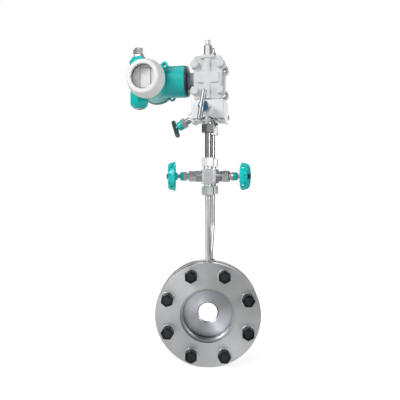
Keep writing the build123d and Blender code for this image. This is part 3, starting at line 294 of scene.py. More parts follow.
def metal(name, dark, light, rough, grain=320.0, bump=0.05, depth=0.00004, stretch=(1, 1, 1)):
    """Bare metal, clouded between two tones, with smears in its polish and a fine grain."""
    material, tree, shader = blank_material(name)
    shader.inputs["Metallic"].default_value = 1.0
    cloud = place_noise(tree, scale=28.0, detail=3.0)
    tree.links.new(two_tone(tree, cloud, dark, light), shader.inputs["Base Color"])
    smear = place_noise(tree, scale=90.0, detail=5.0)
    tree.links.new(spread(tree, smear, *rough), shader.inputs["Roughness"])
    raise_bump(tree, shader, place_noise(tree, grain, detail=2.0, stretch=stretch), bump, depth)
    return material


def face_turned(name, dark, light, rough, sheen, painted_wedge_shade):
    """Steel with fine rings round the pipe's axis. The sheen is drawn out across them. A painted highlight
    keeps the colour full in two wedges, at the upper left and the lower right, and painted shade darkens it
    at the upper right and the lower left."""
    material = metal(name, dark, light, rough)
    tree = material.node_tree
    shader = shader_of(material)
    coord = tree.nodes.new("ShaderNodeTexCoord").outputs
    outwards = vector_step(tree, "MULTIPLY", coord["Object"], from_pipe_axis)[0]
    tree.links.new(outwards, shader.inputs["Tangent"])
    flatness = tree.nodes.new("ShaderNodeMath")
    flatness.operation = "ABSOLUTE"
    tree.links.new(split(tree, coord["Normal"])["Y"], flatness.inputs[0])
    drawn_out = spread(tree, flatness.outputs[0], 0.0, sheen, start=0.7, end=0.98)
    tree.links.new(drawn_out, shader.inputs["Anisotropic"])
    around = split(tree, vector_step(tree, "NORMALIZE", outwards)[0])
    quarter = multiply(tree, around["X"], around["Z"])
    # Painted highlight and shade: the colour is scaled down in the upper right and lower left wedges.
    polish = tree.nodes.new("ShaderNodeVectorMath")
    polish.operation = "SCALE"
    tree.links.new(shader.inputs["Base Color"].links[0].from_socket, polish.inputs[0])
    tree.links.new(spread(tree, quarter, 1.0, 1.0 - painted_wedge_shade, start=-0.45, end=0.4), polish.inputs["Scale"])
    tree.links.new(polish.outputs[0], shader.inputs["Base Color"])
    rings = tree.nodes.new("ShaderNodeTexWave")
    rings.wave_type = "RINGS"
    rings.rings_direction = "Y"
    rings.inputs["Scale"].default_value = 300.0
    rings.inputs["Distortion"].default_value = 1.5
    rings.inputs["Detail Scale"].default_value = 0.2
    tree.links.new(coord["Object"], rings.inputs["Vector"])
    raise_bump(tree, shader, rings.outputs["Fac"], strength=0.06, depth=0.00003)
    return material


def shaded_bore_wall(material):
    """Painted shade: darkens the bore's wall towards the plate, most at its lower left."""
    tree = material.node_tree
    shader = shader_of(material)
    bare = shader.inputs["Base Color"].links[0].from_socket
    at = tree.nodes.new("ShaderNodeTexCoord").outputs["Object"]
    radius = vector_step(tree, "LENGTH", vector_step(tree, "MULTIPLY", at, from_pipe_axis)[0])["Value"]
    inside = spread(tree, radius, 1.0, 0.0, *bore_edge)
    deep = spread(tree, split(tree, at)["Y"], 0.5, 1.0, *bore_shade_depth)
    low_left = vector_step(tree, "DOT_PRODUCT", at, bore_shade_side)["Value"]
    shaded_side = spread(tree, low_left, 0.2, 0.96, *bore_shade_reach)
    share = multiply(tree, multiply(tree, inside, deep), shaded_side)
    tree.links.new(mix_colours(tree, share, bare, linear(44, 46, 50)), shader.inputs["Base Color"])


flange_steel = face_turned(
    "flange_steel", linear(216, 217, 218), linear(227, 228, 229), rough=(0.36, 0.44), sheen=0.6, painted_wedge_shade=0.22
)
shaded_bore_wall(flange_steel)
dress(flange_steel, "front_flange", "rear_flange")

# Orifice plate: a flat stainless disc between the flanges, faced on the lathe. Its sheen, with the painted
# highlight and shade, fans out in the same two wedges as theirs, more plainly.
plate_steel = face_turned(
    "plate_steel", linear(222, 225, 232), linear(232, 235, 242), rough=(0.38, 0.44), sheen=0.8, painted_wedge_shade=0.40
)
dress(plate_steel, "orifice_plate")


# Gaskets: two flat rings of dark grey graphite sheet, pressed between the plate and the raised faces.
# They keep their CAD solids.
def paint(name, dark, light, rough, grain=500.0, bump=0.12, depth=0.00015):
    """A matt or satin coat, clouded between two tones, with a fine skin."""
    material, tree, shader = blank_material(name)
    cloud = place_noise(tree, scale=18.0, detail=4.0)
    tree.links.new(two_tone(tree, cloud, dark, light), shader.inputs["Base Color"])
    smear = place_noise(tree, scale=60.0, detail=4.0)
    tree.links.new(spread(tree, smear, *rough), shader.inputs["Roughness"])
    raise_bump(tree, shader, place_noise(tree, grain, detail=3.0), bump, depth)
    return material


gasket_grey = paint("gasket_grey", linear(60, 60, 62), linear(80, 80, 82), rough=(0.7, 0.85))
dress(gasket_grey, "flange_gaskets")

# Flange studs: eight rods of blackened steel with a thread all along, held by the nuts at both ends.
# One is cut as a screw and trimmed to a chamfered blank, and the other seven are copies of it.
mm = 0.001
merge_gap = 0.00001
bolt_count = 8
bolt_circle_r = 90
pair_thick = 47.0
washer_thick = 2.5
nut_high = 11
stud_d = 16
stud_pitch = 2.0
stud_proud = 1.5
nut_stack = washer_thick + nut_high


def clear_hand():
    """Leaves nothing selected, in object mode."""
    if bpy.context.object and bpy.context.object.mode != "OBJECT":
        bpy.ops.object.mode_set(mode="OBJECT")
    bpy.ops.object.select_all(action="DESELECT")


def hold(piece):
    clear_hand()
    bpy.context.view_layer.objects.active = piece
    piece.select_set(True)


def apply_last(piece, modifier):
    hold(piece)
    bpy.ops.object.modifier_apply(modifier=modifier.name)


def turn_piece(name, profile, steps=64, bored=True):
    """Turned about Z: a ring is drawn out to each radius and height in turn, in millimetres."""
    clear_hand()
    radius, height = profile[0]
    bpy.ops.mesh.primitive_circle_add(
        vertices=steps, radius=radius * mm, fill_type="NOTHING", location=(0, 0, height * mm)
    )
    piece = bpy.context.object
    piece.name = name
    bpy.ops.object.transform_apply(location=True)
    bpy.ops.object.mode_set(mode="EDIT")
    bpy.ops.mesh.select_all(action="SELECT")
    for next_radius, next_height in profile[1:]:
        bpy.ops.mesh.extrude_edges_move(
            TRANSFORM_OT_translate={"value": (0, 0, (next_height - height) * mm)}
        )
        grow = next_radius / radius
        bpy.ops.transform.resize(value=(grow, grow, 1), center_override=(0, 0, next_height * mm))
        radius, height = next_radius, next_height
    bpy.ops.mesh.select_mode(type="EDGE")
    bpy.ops.mesh.select_all(action="DESELECT")
    bpy.ops.mesh.select_non_manifold(
        extend=False,
        use_wire=False,
        use_boundary=True,
        use_multi_face=False,
        use_non_contiguous=False,
        use_verts=False,
    )
    if bored:
        bpy.ops.mesh.bridge_edge_loops()
    else:
        bpy.ops.mesh.fill_holes(sides=0)
    bpy.ops.mesh.select_all(action="SELECT")
    bpy.ops.mesh.normals_make_consistent(inside=False)
    bpy.ops.object.mode_set(mode="OBJECT")
    return piece


def cut_with(piece, cutter, operation="DIFFERENCE"):
    cut = piece.modifiers.new("cut", "BOOLEAN")
    cut.operation = operation
    cut.solver = "EXACT"
    cut.object = cutter
    apply_last(piece, cut)
    bpy.data.objects.remove(cutter)


def thread_rod(name, diameter, pitch, start, end):
    """A rod threaded all along, its ends chamfered."""
    groove = 0.9
    chamfer = 1.2
    blank_allowance = 0.01
    steps = 18
    clear_hand()
    r = diameter / 2
    root = r - groove
    bpy.ops.mesh.primitive_plane_add(size=1)
    rod = bpy.context.object
    rod.name = name
    bpy.ops.object.mode_set(mode="EDIT")
    mesh = bmesh.from_edit_mesh(rod.data)
    bmesh.ops.delete(mesh, geom=list(mesh.verts), context="VERTS")
    flank = [(root, 0), (r, pitch * 0.42), (r, pitch * 0.54), (root, pitch * 0.94), (root, pitch)]
    made = [mesh.verts.new((x * mm, 0, (start - 2 * pitch + z) * mm)) for x, z in flank]
    for a, b in zip(made, made[1:]):
        mesh.edges.new((a, b))
    bmesh.update_edit_mesh(rod.data)
    bpy.ops.object.mode_set(mode="OBJECT")
    screw = rod.modifiers.new("screw", "SCREW")
    screw.angle = 2 * math.pi
    screw.screw_offset = pitch * mm
    screw.iterations = int((end - start) / pitch) + 4
    screw.steps = steps
    screw.render_steps = steps
    screw.use_merge_vertices = True
    screw.merge_threshold = merge_gap
    apply_last(rod, screw)
    bpy.ops.object.mode_set(mode="EDIT")
    bpy.ops.mesh.select_all(action="SELECT")
    bpy.ops.mesh.remove_doubles(threshold=merge_gap)
    bpy.ops.mesh.fill_holes(sides=0)
    bpy.ops.mesh.select_all(action="SELECT")
    bpy.ops.mesh.normals_make_consistent(inside=False)
    bpy.ops.object.mode_set(mode="OBJECT")
    wide = r + blank_allowance
    blank = turn_piece(
        "blank", [(r - chamfer, start), (wide, start + chamfer), (wide, end - chamfer), (r - chamfer, end)],
        steps=32, bored=False,
    )
    cut_with(rod, blank, "INTERSECT")
    return rod


def finish_piece(piece, place, material, body, *replaced, angle=35):
    """Puts a piece in its place in the mesh itself and gives it its material, its body and the CAD nodes
    that it stands for. Soft pieces, smoothed to 60 degrees, need no flattened shading."""
    piece.data.transform(place)
    piece.data.update()
    hold(piece)
    bpy.ops.object.shade_smooth_by_angle(angle=math.radians(angle))
    if angle < 60:
        flats = piece.modifiers.new("flats", "WEIGHTED_NORMAL")
        flats.keep_sharp = True
        apply_last(piece, flats)
    piece.data.materials.clear()
    piece.data.materials.append(material)
    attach(piece, body)
    if replaced:
        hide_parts(*replaced)


def copy_piece(piece, name):
    twin = bpy.data.objects.new(name, piece.data.copy())
    scene.collection.objects.link(twin)
    return twin


def turned_by(degrees, axis="Z"):
    return Matrix.Rotation(math.radians(degrees), 4, axis)


def shifted(x, y, z):
    return Matrix.Translation((x * mm, y * mm, z * mm))


def bolt_place(index):
    """A place on one of the eight bolt axes: Z along the pipe, from the front flange's face."""
    angle = math.radians(360 / bolt_count * (index + 0.5))
    on_circle = shifted(bolt_circle_r * math.cos(angle), bolt_circle_r * math.sin(angle), 0)
    return turned_by(-90, "X") @ on_circle


stud_steel = metal("stud_steel", linear(54, 56, 58), linear(70, 72, 74), rough=(0.35, 0.5))
stud_start = -nut_stack - stud_proud
stud_end = pair_thick + nut_stack + stud_proud
first_stud = thread_rod("flange_stud_0", stud_d, stud_pitch, stud_start, stud_end)
all_studs = [first_stud]
all_studs += [copy_piece(first_stud, "flange_stud_%d" % k) for k in range(1, bolt_count)]
for k, stud in enumerate(all_studs):
    finish_piece(stud, bolt_place(k), stud_steel, "meter", "flange_studs", angle=50)

# Flange nuts: sixteen black hexagon nuts, chamfered at both ends, pulled up on the washers. Each front nut
# has stopped at its own angle.
nut_across = 24
nut_bore = 16.1
front_nut_spins = (30, 3, 31, 4, 40, 28, 30, 2)
rear_nut_spin = 30


def ease_edges(piece, width, angle):
    bevel = piece.modifiers.new("eased", "BEVEL")
    bevel.width = width * mm
    bevel.segments = 2
    bevel.limit_method = "ANGLE"
    bevel.angle_limit = math.radians(angle)
    apply_last(piece, bevel)


def hex_piece(name, across, low, high, bore, chamfer=1.0, ease=0.25):
    """A hexagon along Z with a corner on X, trimmed to a chamfered round at both ends. A bore of 0 leaves
    it solid."""
    land_share = 0.95
    clear_hand()
    corner = across / math.sqrt(3)
    land = across / 2 * land_share
    bpy.ops.mesh.primitive_cylinder_add(
        vertices=6, radius=corner * mm, depth=(high - low) * mm, location=(0, 0, (low + high) / 2 * mm)
    )
    piece = bpy.context.object
    piece.name = name
    bpy.ops.object.transform_apply(location=True)
    piece.data.transform(turned_by(30))
    blank = turn_piece(
        "blank", [(land, low), (corner, low + chamfer), (corner, high - chamfer), (land, high)],
        steps=64, bored=False,
    )
    cut_with(piece, blank, "INTERSECT")
    if bore:
        lead = 0.6
        past = 0.1
        r = bore / 2
        hole = turn_piece(
            "hole", [(r + lead, low - past), (r, low + lead), (r, high - lead), (r + lead, high + past)],
            steps=32, bored=False,
        )
        cut_with(piece, hole)
    ease_edges(piece, ease, angle=25)
    return piece


black_steel = metal("black_steel", linear(40, 41, 43), linear(58, 59, 61), rough=(0.3, 0.45))
first_nut = hex_piece("flange_nut_0", nut_across, 0, nut_high, nut_bore, chamfer=1.3)
for k, front_spin in enumerate(front_nut_spins):
    for end, height, spin in (
        ("front", -nut_stack, front_spin),
        ("rear", pair_thick + washer_thick, rear_nut_spin),
    ):
        nut = copy_piece(first_nut, "flange_nut_%s_%d" % (end, k))
        seat = bolt_place(k) @ shifted(0, 0, height) @ turned_by(spin)
        finish_piece(nut, seat, black_steel, "meter", "flange_nuts")
bpy.data.objects.remove(first_nut)

# Flange washers: sixteen flat rings of bright zinc-plated steel, stamped, so that one edge is rounder.
# The rounder edge looks to the nut.
zinc_steel = metal("zinc_steel", linear(205, 206, 208), linear(228, 229, 230), rough=(0.22, 0.34))
first_washer = turn_piece(
    "flange_washer_0",
    [(8.5, 0), (14.6, 0), (15, 0.35), (15, 1.7), (14.7, 2.25), (14.1, washer_thick), (8.5, washer_thick)],
)
for k in range(bolt_count):
    for end, seat in (("front", turned_by(180, "X")), ("rear", shifted(0, 0, pair_thick))):
        ring = copy_piece(first_washer, "flange_washer_%s_%d" % (end, k))
        finish_piece(ring, bolt_place(k) @ seat, zinc_steel, "meter", "flange_washers")
bpy.data.objects.remove(first_washer)

# Impulse tubes: seamless stainless tube, 12 mm, the lower two bent a little towards each other and left dull,
# the upper two drawn bright and painted darker, as painted shade. They keep the CAD's runs and show faint
# drawing lines.
drawn_upwards = (1, 1, 0.04)
# Painted shade: the upper tubes' steel is darker than the lower ones'.
tube_steel = metal(
    "tube_steel", linear(154, 154, 154), linear(172, 172, 172), rough=(0.18, 0.24),
    grain=260.0, bump=0.04, depth=0.00003, stretch=drawn_upwards,
)
dress(tube_steel, "front_upper_tube", "rear_upper_tube")
dull_tube = metal(
    "dull_tube", linear(206, 206, 205), linear(222, 222, 221), rough=(0.38, 0.46),
    grain=260.0, bump=0.05, depth=0.00003, stretch=drawn_upwards,
)
dress(dull_tube, "front_lower_tube", "rear_lower_tube")

# Weld beads: one round each tube where it enters the flange's rim, laid by hand in overlapping ripples.
# Flattened drops set round the tube are grown together and smoothed.
drop_count = 15
drop_ring_r = 7.3
drop_lean = 40
drop_size = (2.9, 2.3, 1.5, 1.0)
weld_steel = metal("weld_steel", linear(150, 148, 146), linear(190, 189, 187), rough=(0.25, 0.4))


def grow_skin(piece, voxel, rounds):
    """Grows a piece into one closed skin and smooths it, as a weld or a casting is."""
    grown = piece.modifiers.new("grown", "REMESH")
    grown.mode = "VOXEL"
    grown.voxel_size = voxel * mm
    apply_last(piece, grown)
    soft = piece.modifiers.new("soft", "SMOOTH")
    soft.factor = 0.5
    soft.iterations = rounds
    apply_last(piece, soft)


def weld_bead(name, x, y, rim_z):
    drops = []
    for k in range(drop_count):
        clear_hand()
        bpy.ops.mesh.primitive_uv_sphere_add(segments=16, ring_count=10, radius=1.0 * mm)
        drop = bpy.context.object
        lean = turned_by(drop_lean, "Y") @ Matrix.Diagonal(drop_size)
        drop.data.transform(turned_by(360 / drop_count * k) @ shifted(drop_ring_r, 0, 0) @ lean)
        drops.append(drop)
    clear_hand()
    for drop in drops:
        drop.select_set(True)
    bpy.context.view_layer.objects.active = drops[0]
    bpy.ops.object.join()
    bead = drops[0]
    bead.name = name
    grow_skin(bead, voxel=0.3, rounds=2)
    finish_piece(bead, shifted(x, y, rim_z), weld_steel, "meter", angle=60)


weld_bead("front_weld", 0.0, 10.0, rim_z=110.9)
weld_bead("rear_weld", 5.0, 37.0, rim_z=110.8)

# Union nuts: six hexagon nuts that close the compression joints on the tubes. Two frosted ones above the
# valves are painted near white, as a painted highlight. Two of bright steel sit below, and two under the
# manifold, the front one painted darker, as painted shade under the block. Each is counterbored for its stub
# and its ferrule.
tower_x = 4.2
tower_y = 23.5
tower_turn = -9
half_spacing = 27
valve_z = 288
union_from_valve = 20.25
manifold_union_z = 393
union_across = 23
union_high = 17.5
union_bore = 12.1
union_seat_r = 9.05
union_seat_deep = 15


def tower_place(u, v, z):
    """A place in the upright tower's frame, in millimetres: u to the right, v to the back."""
    return shifted(tower_x, tower_y, 0) @ turned_by(tower_turn) @ shifted(u, v, z)


def place_hole(piece, place, radius, start, end, steps=32):
    """A round hole along the place's Z, from start to end in millimetres."""
    clear_hand()
    bpy.ops.mesh.primitive_cylinder_add(
        vertices=steps, radius=radius * mm, depth=(end - start) * mm, location=(0, 0, (start + end) / 2 * mm)
    )
    cutter = bpy.context.object
    bpy.ops.object.transform_apply(location=True)
    cutter.data.transform(place)
    cut_with(piece, cutter)


fitting_steel = metal("fitting_steel", linear(190, 191, 193), linear(206, 207, 208), rough=(0.36, 0.44))
# Painted highlight: the upper nuts' near-white steel. Painted shade: the front manifold nut's darker steel.
frosted_highlit_steel = metal("frosted_highlit_steel", linear(238, 238, 239), linear(248, 248, 248), rough=(0.5, 0.6))
shaded_union = metal("shaded_union", linear(108, 110, 113), linear(128, 130, 133), rough=(0.3, 0.4))
union_blank = hex_piece("union_blank", union_across, 0, union_high, union_bore, chamfer=1.2, ease=0.3)
place_hole(union_blank, Matrix.Identity(4), union_seat_r, -1, union_seat_deep)
corner_front = turned_by(30)
upside_down = turned_by(180, "X")
for end, v, under_tone in (("front", -half_spacing, shaded_union), ("rear", half_spacing, fitting_steel)):
    for level, z, turn, tone, node in (
        ("upper", valve_z + union_from_valve, corner_front, frosted_highlit_steel, "line_union_nuts"),
        ("lower", valve_z - union_from_valve, upside_down @ corner_front, fitting_steel, "line_union_nuts"),
        ("manifold", manifold_union_z, upside_down @ corner_front, under_tone, "manifold_union_nuts"),
    ):
        nut = copy_piece(union_blank, "%s_%s_union_nut" % (end, level))
        finish_piece(nut, tower_place(0, v, z) @ turn, tone, "meter", node)
bpy.data.objects.remove(union_blank)

# Nipples and ferrules: turned from the same bright steel as the nuts, and mostly hidden by them. They keep
# their CAD solids.
dress(fitting_steel, "manifold_nipples", "union_ferrules")

# Line valve bodies: square blocks of stainless bar with a round stub above and below, chamfered along their
# upright edges. The stem's bore, the seat and the tube sockets are cut as in the CAD.
block_wide = 24
block_half_high = 15.25
stub_r = 9
stub_neck_r = 8.4
stub_end = 31.75
tube_socket_r = 6.05
socket_floor = 26.75
front_block_turn = 183
rear_block_turn = -16


def axis_place(joint_name, along=0.0):
    """A place on a joint's axis: Z along it, Y upright, moved outwards by some millimetres."""
    joint = next(j for j in frame["joints"] if j["name"] == joint_name)
    z = Vector(joint["axis"])
    x = Vector((0, 0, 1)).cross(z).normalized()
    y = z.cross(x)
    turn = Matrix((x, y, z)).transposed().to_4x4()
    return Matrix.Translation(Vector(joint["pos_m"]) + z * along * mm) @ turn


def block_piece(name, wide, deep, low, high, corner, ease):
    """A block about the Z axis with bevelled upright edges and, where ease isn't 0, all its edges eased."""
    clear_hand()
    bpy.ops.mesh.primitive_cube_add(
        size=1, location=(0, 0, (low + high) / 2 * mm), scale=(wide * mm, deep * mm, (high - low) * mm)
    )
    piece = bpy.context.object
    piece.name = name
    bpy.ops.object.transform_apply(location=True, scale=True)
    bpy.ops.object.mode_set(mode="EDIT")
    bpy.ops.mesh.select_mode(type="EDGE")
    mesh = bmesh.from_edit_mesh(piece.data)
    for edge in mesh.edges:
        edge.select_set(abs(edge.verts[0].co.z - edge.verts[1].co.z) > (high - low) * 0.5 * mm)
    bmesh.update_edit_mesh(piece.data)
    bpy.ops.mesh.bevel(offset=corner * mm, segments=2)
    bpy.ops.object.mode_set(mode="OBJECT")
    if ease:
        ease_edges(piece, ease, angle=40)
    return piece


def valve_body(name):
    block = block_piece(
        name, block_wide, block_wide, -block_half_high, block_half_high, corner=2.5, ease=0.5
    )
    upper_half = [(stub_neck_r, 23.6), (stub_r, 24), (stub_r, 31), (8.2, stub_end), (0.5, stub_end)]
    lower_half = [(r, -z) for r, z in reversed(upper_half)]
    cut_with(block, turn_piece("stub", lower_half + upper_half, steps=48, bored=False), "UNION")
    for low, high in ((socket_floor, 33), (-33, -socket_floor)):
        place_hole(block, Matrix.Identity(4), tube_socket_r, low, high)
    chamber = turn_piece(
        "chamber", [(2, -8), (2, -2.5), (4, -2.5), (4, 2), (7.5, 2), (7.5, 13)], steps=32, bored=False
    )
    chamber.data.transform(turned_by(90, "Y"))
    cut_with(block, chamber)
    return block


valve_steel = metal(
    "valve_steel", linear(222, 224, 227), linear(234, 236, 239), rough=(0.4, 0.5),
    grain=420.0, bump=0.07, depth=0.00005, stretch=(1, 1, 0.05),
)
for end, v, turn in (("front", -half_spacing, front_block_turn), ("rear", half_spacing, rear_block_turn)):
    body = valve_body(end + "_valve_block")
    upright = Matrix.Translation(tower_place(0, v, valve_z).to_translation()) @ turned_by(turn)
    finish_piece(body, upright, valve_steel, "meter", end + "_valve_body")


# Valve bonnets: a knurled collar screwed against the block, a hexagon for the spanner, a short neck and a
# round head. Turned from bar, with the hexagon milled on it.
def grooves(count, start, pitch, crest_r, root_r, sides):
    """The outline of rings cut round a bar: sides gives where each falls, and where it rises and ends."""
    fall, rise, end = sides
    outline = []
    for k in range(count):
        low = start + pitch * k
        outline += [(crest_r, low), (root_r, low + fall), (root_r, low + rise), (crest_r, low + end)]
    return outline


def valve_bonnet(name, spin):
    knurl = grooves(9, 13.0, 1.05, crest_r=11.5, root_r=11.1, sides=(0.3, 0.65, 0.95))
    bonnet = turn_piece(
        name,
        [(4.05, 2), (7.45, 2), (7.45, 12), (10.7, 12), (11.5, 12.7)] + knurl
        + [(11.5, 22.8), (10.7, 23.5), (9, 23.6), (9, 38.4), (6.5, 38.6), (6.5, 42.3), (8.3, 42.5), (9, 43.1),
           (9, 47.9), (8.4, 48.5), (6.05, 48.5), (6.05, 44), (4.05, 44)],
        steps=48,
    )
    spanner = hex_piece("spanner", across=21, low=23.5, high=38.5, bore=17, chamfer=1.3, ease=0.3)
    spanner.data.transform(turned_by(spin))
    cut_with(bonnet, spanner, "UNION")
    return bonnet


bright_bar = metal("bright_bar", linear(176, 177, 180), linear(198, 199, 201), rough=(0.32, 0.4))
for end, spin in (("front", 0), ("rear", 30)):
    bonnet = valve_bonnet(end + "_bonnet", spin)
    finish_piece(bonnet, axis_place(end + "_valve_turn"), bright_bar, "meter", end + "_valve_bonnet")


# Gland nuts of the line valves: small caps with a rounded front edge, enamelled teal like the handwheels.
# Turned, and screwed into the bonnet's head.
def enamel(name, dark, light):
    """A thick glossy paint with a slight orange peel, rubbed thinner here and there."""
    material = paint(name, dark, light, rough=(0.28, 0.38), grain=260.0, bump=0.06, depth=0.0001)
    shader = shader_of(material)
    shader.inputs["Specular IOR Level"].default_value = 0.35
    shader.inputs["Coat Weight"].default_value = 0.12
    shader.inputs["Coat Roughness"].default_value = 0.12
    return material


teal = enamel("teal_enamel", linear(0, 176, 172), linear(0, 196, 192))
for end in ("front", "rear"):
    cap = turn_piece(
        end + "_gland_cap",
        [(4.05, 46), (6, 46), (6, 48.5), (8.3, 48.5), (8.75, 48.9), (8.75, 53.2), (8.3, 54.6), (7.4, 55.5),
         (5.8, 56), (4.05, 56)],
        steps=48,
    )
    finish_piece(cap, axis_place(end + "_valve_turn"), teal, "meter", "valve_gland_nuts")

# Stems, spindles and packings: turned steel shanks that show for a few millimetres only, darkened with
# grease, in rings of white packing. They keep their CAD solids.
stem_steel = metal("stem_steel", linear(120, 121, 123), linear(160, 161, 163), rough=(0.2, 0.3))
dress(stem_steel, "front_valve_stem", "rear_valve_stem", "front_spindle", "rear_spindle", "side_spindle")
packing_white = paint("packing_white", linear(205, 204, 198), linear(222, 221, 215), rough=(0.5, 0.65))
dress(packing_white, "stem_packings")


# Handwheels: cast aluminium cups, enamelled teal. Each is turned as a cup, notched round its front edge,
# pierced in its skirt and face, and softened all over like a casting.
def ring_of_holes(piece, count, first_angle, place, radius, start, end):
    for k in range(count):
        around = turned_by(first_angle + 360 / count * k)
        place_hole(piece, around @ place, radius, start, end, 24)


def make_wheel():
    wheel = turn_piece(
        "handwheel",
        [(3.05, 61), (6.7, 61), (7.5, 61.8), (7.5, 74), (9.5, 76), (21, 76), (25.5, 67.5), (26.3, 65.5),
         (28.6, 65.5), (29.5, 66.4), (28.6, 70), (26.2, 77.3), (24.6, 79.6), (22.6, 80), (17.5, 80),
         (15, 78.5), (3.05, 78.5)],
        steps=96,
    )
    through_skirt = shifted(0, 0, 71.5) @ turned_by(90, "Y")
    ring_of_holes(wheel, 10, 0, shifted(27.2, 0, 0), radius=4.6, start=74.5, end=83.5)
    ring_of_holes(wheel, 4, 45, through_skirt, radius=3, start=18, end=34)
    ring_of_holes(wheel, 5, 18, shifted(14, 0, 0), radius=3.6, start=70, end=86)
    grow_skin(wheel, voxel=0.7, rounds=2)
    return wheel


front_wheel = make_wheel()
rear_wheel = copy_piece(front_wheel, "handwheel_rear")
finish_piece(front_wheel, axis_place("front_valve_turn"), teal, "front_wheel", "front_handwheel")
finish_piece(rear_wheel, axis_place("rear_valve_turn"), teal, "rear_wheel", "rear_handwheel")

# Wheel nuts: small dark hexagon nuts of hardened steel that hold the handwheels on their stems.
# Each sits on the wheel's face.
dark_steel = metal("dark_steel", linear(60, 60, 62), linear(85, 85, 88), rough=(0.3, 0.45))
for end in ("front", "rear"):
    nut = hex_piece(end + "_wheel_lock", across=10, low=78.5, high=83, bore=6.1, chamfer=0.7, ease=0.2)
    finish_piece(nut, axis_place(end + "_valve_turn"), dark_steel, end + "_wheel", end + "_wheel_nut")


# Manifold block: a forged stainless block, blasted and painted pale grey, with three bosses, an arched foot
# and bored ports. A merged copy of the CAD solid is squared up, softened like a forging and put back.
def soft_casting(node, name, voxel, rounds, material):
    copy = copy_piece(nodes[node], name)
    stand = tower_place(0, 0, 0)
    copy.data.transform(stand.inverted())
    hold(copy)
    bpy.ops.object.mode_set(mode="EDIT")
    bpy.ops.mesh.select_all(action="SELECT")
    bpy.ops.mesh.remove_doubles(threshold=0.000002)
    bpy.ops.object.mode_set(mode="OBJECT")
    grow_skin(copy, voxel, rounds)
    finish_piece(copy, stand, material, "meter", node, angle=60)


manifold_paint = paint(
    "manifold_paint", linear(212, 214, 215), linear(225, 227, 228), rough=(0.34, 0.46),
    grain=700.0, bump=0.14, depth=0.0001,
)
soft_casting("manifold_block", "manifold_forging", voxel=0.8, rounds=3, material=manifold_paint)

# Seals: black rubber rings in the manifold's ports, the measuring cell and the two covers' mouths. They
# keep their CAD solids.
seal_black = paint("seal_black", linear(25, 25, 25), linear(35, 35, 35), rough=(0.6, 0.8))
dress(seal_black, "manifold_seals", "cell_seals", "front_cover_seal", "rear_cover_seal")

# Spindle bonnets: a threaded neck screwed into each boss and a hexagon for the spanner, bare bright steel.
# Each stands on its valve's axis, at its own seat along it.
spindle_seats = {"front": 20, "rear": 20, "side": 48}


def spindle_bonnet(name):
    thread = grooves(6, 0.4, 1.5, crest_r=6.7, root_r=6.15, sides=(0.6, 0.8, 1.35))
    bonnet = turn_piece(
        name,
        [(4.05, -8), (6.7, -8), (6.7, 0)] + thread
        + [(6.7, 9.9), (8.6, 10.1), (8.6, 19.9), (6.05, 20), (6.05, 15.5), (4.05, 15.5)],
        steps=48,
    )
    spanner = hex_piece("spanner", across=19.5, low=10, high=20, bore=16.8, chamfer=1.2, ease=0.3)
    cut_with(bonnet, spanner, "UNION")
    return bonnet


for end, seat in spindle_seats.items():
    bonnet = spindle_bonnet(end + "_spindle_bonnet")
    place = axis_place(end + "_manifold_valve_turn", seat)
    finish_piece(bonnet, place, bright_bar, "meter", "manifold_bonnets")

# Spindle caps: round gland caps, blue on the front valve and teal on the two others.
# Turned, and screwed into the bonnets.
deep_blue = enamel("deep_blue_enamel", linear(0, 92, 140), linear(8, 112, 158))
for end, seat in spindle_seats.items():
    cap = turn_piece(
        end + "_spindle_cap",
        [(4.05, 17.5), (6, 17.5), (6, 20), (9, 20), (9.5, 20.6), (9.5, 27.8), (9.2, 29), (8.2, 30.3), (6, 31),
         (4.05, 31)],
        steps=48,
    )
    tone = deep_blue if end == "front" else teal
    place = axis_place(end + "_manifold_valve_turn", seat)
    finish_piece(cap, place, tone, "meter", "manifold_gland_nuts")

# T-handles: chromed round bars with rounded ends, pressed through a short hub that grips the spindle. The
# side one's chrome is painted darker, as painted shade.
handle_spins = {"front": 9.6, "rear": 90, "side": 133}
handle_high = 37
spindle_grip_r = 3.05
chrome = metal("handle_chrome", linear(146, 148, 151), linear(168, 170, 173), rough=(0.34, 0.42))
# Painted shade: a darker copy of the chrome for the side handle.
shaded_chrome = metal("shaded_chrome", linear(122, 128, 130), linear(140, 146, 148), rough=(0.3, 0.38))
for end, seat in spindle_seats.items():
    hub = turn_piece(
        end + "_handle_hub", [(0.5, 32), (4.3, 32), (4.8, 32.5), (4.8, 41), (4.3, 41.5), (0.5, 41.5)],
        steps=32, bored=False,
    )
    half_bar = [(5, 26.4), (4.5, 27.8), (3.2, 28.5), (0.5, 28.5)]
    other_half = [(r, -z) for r, z in reversed(half_bar)]
    bar = turn_piece("bar", other_half + half_bar, steps=40, bored=False)
    lie = turned_by(-handle_spins[end]) @ turned_by(-90, "X")
    bar.data.transform(shifted(0, 0, handle_high) @ lie)
    cut_with(hub, bar, "UNION")
    place_hole(hub, Matrix.Identity(4), spindle_grip_r, start=31, end=39)
    tone = shaded_chrome if end == "side" else chrome
    place = axis_place(end + "_manifold_valve_turn", seat)
    finish_piece(hub, place, tone, end + "_handle", end + "_t_handle")

# Manifold bolts: four zinc-plated hexagon bolts from below into the process flanges.
# Head and shank are made apart and joined.
manifold_bolt_u = 22
for k, (u, v) in enumerate(product((-manifold_bolt_u, manifold_bolt_u), (-half_spacing, half_spacing))):
    bolt = hex_piece("manifold_bolt_%d" % k, across=13, low=400.5, high=406, bore=0)
    shank = turn_piece(
        "shank", [(0.5, 405.9), (4, 405.9), (4, 450.5), (3, 451.5), (0.5, 451.5)], steps=24, bored=False
    )
    cut_with(bolt, shank, "UNION")
    finish_piece(bolt, tower_place(u, v, 0), zinc_steel, "meter", "manifold_bolts")

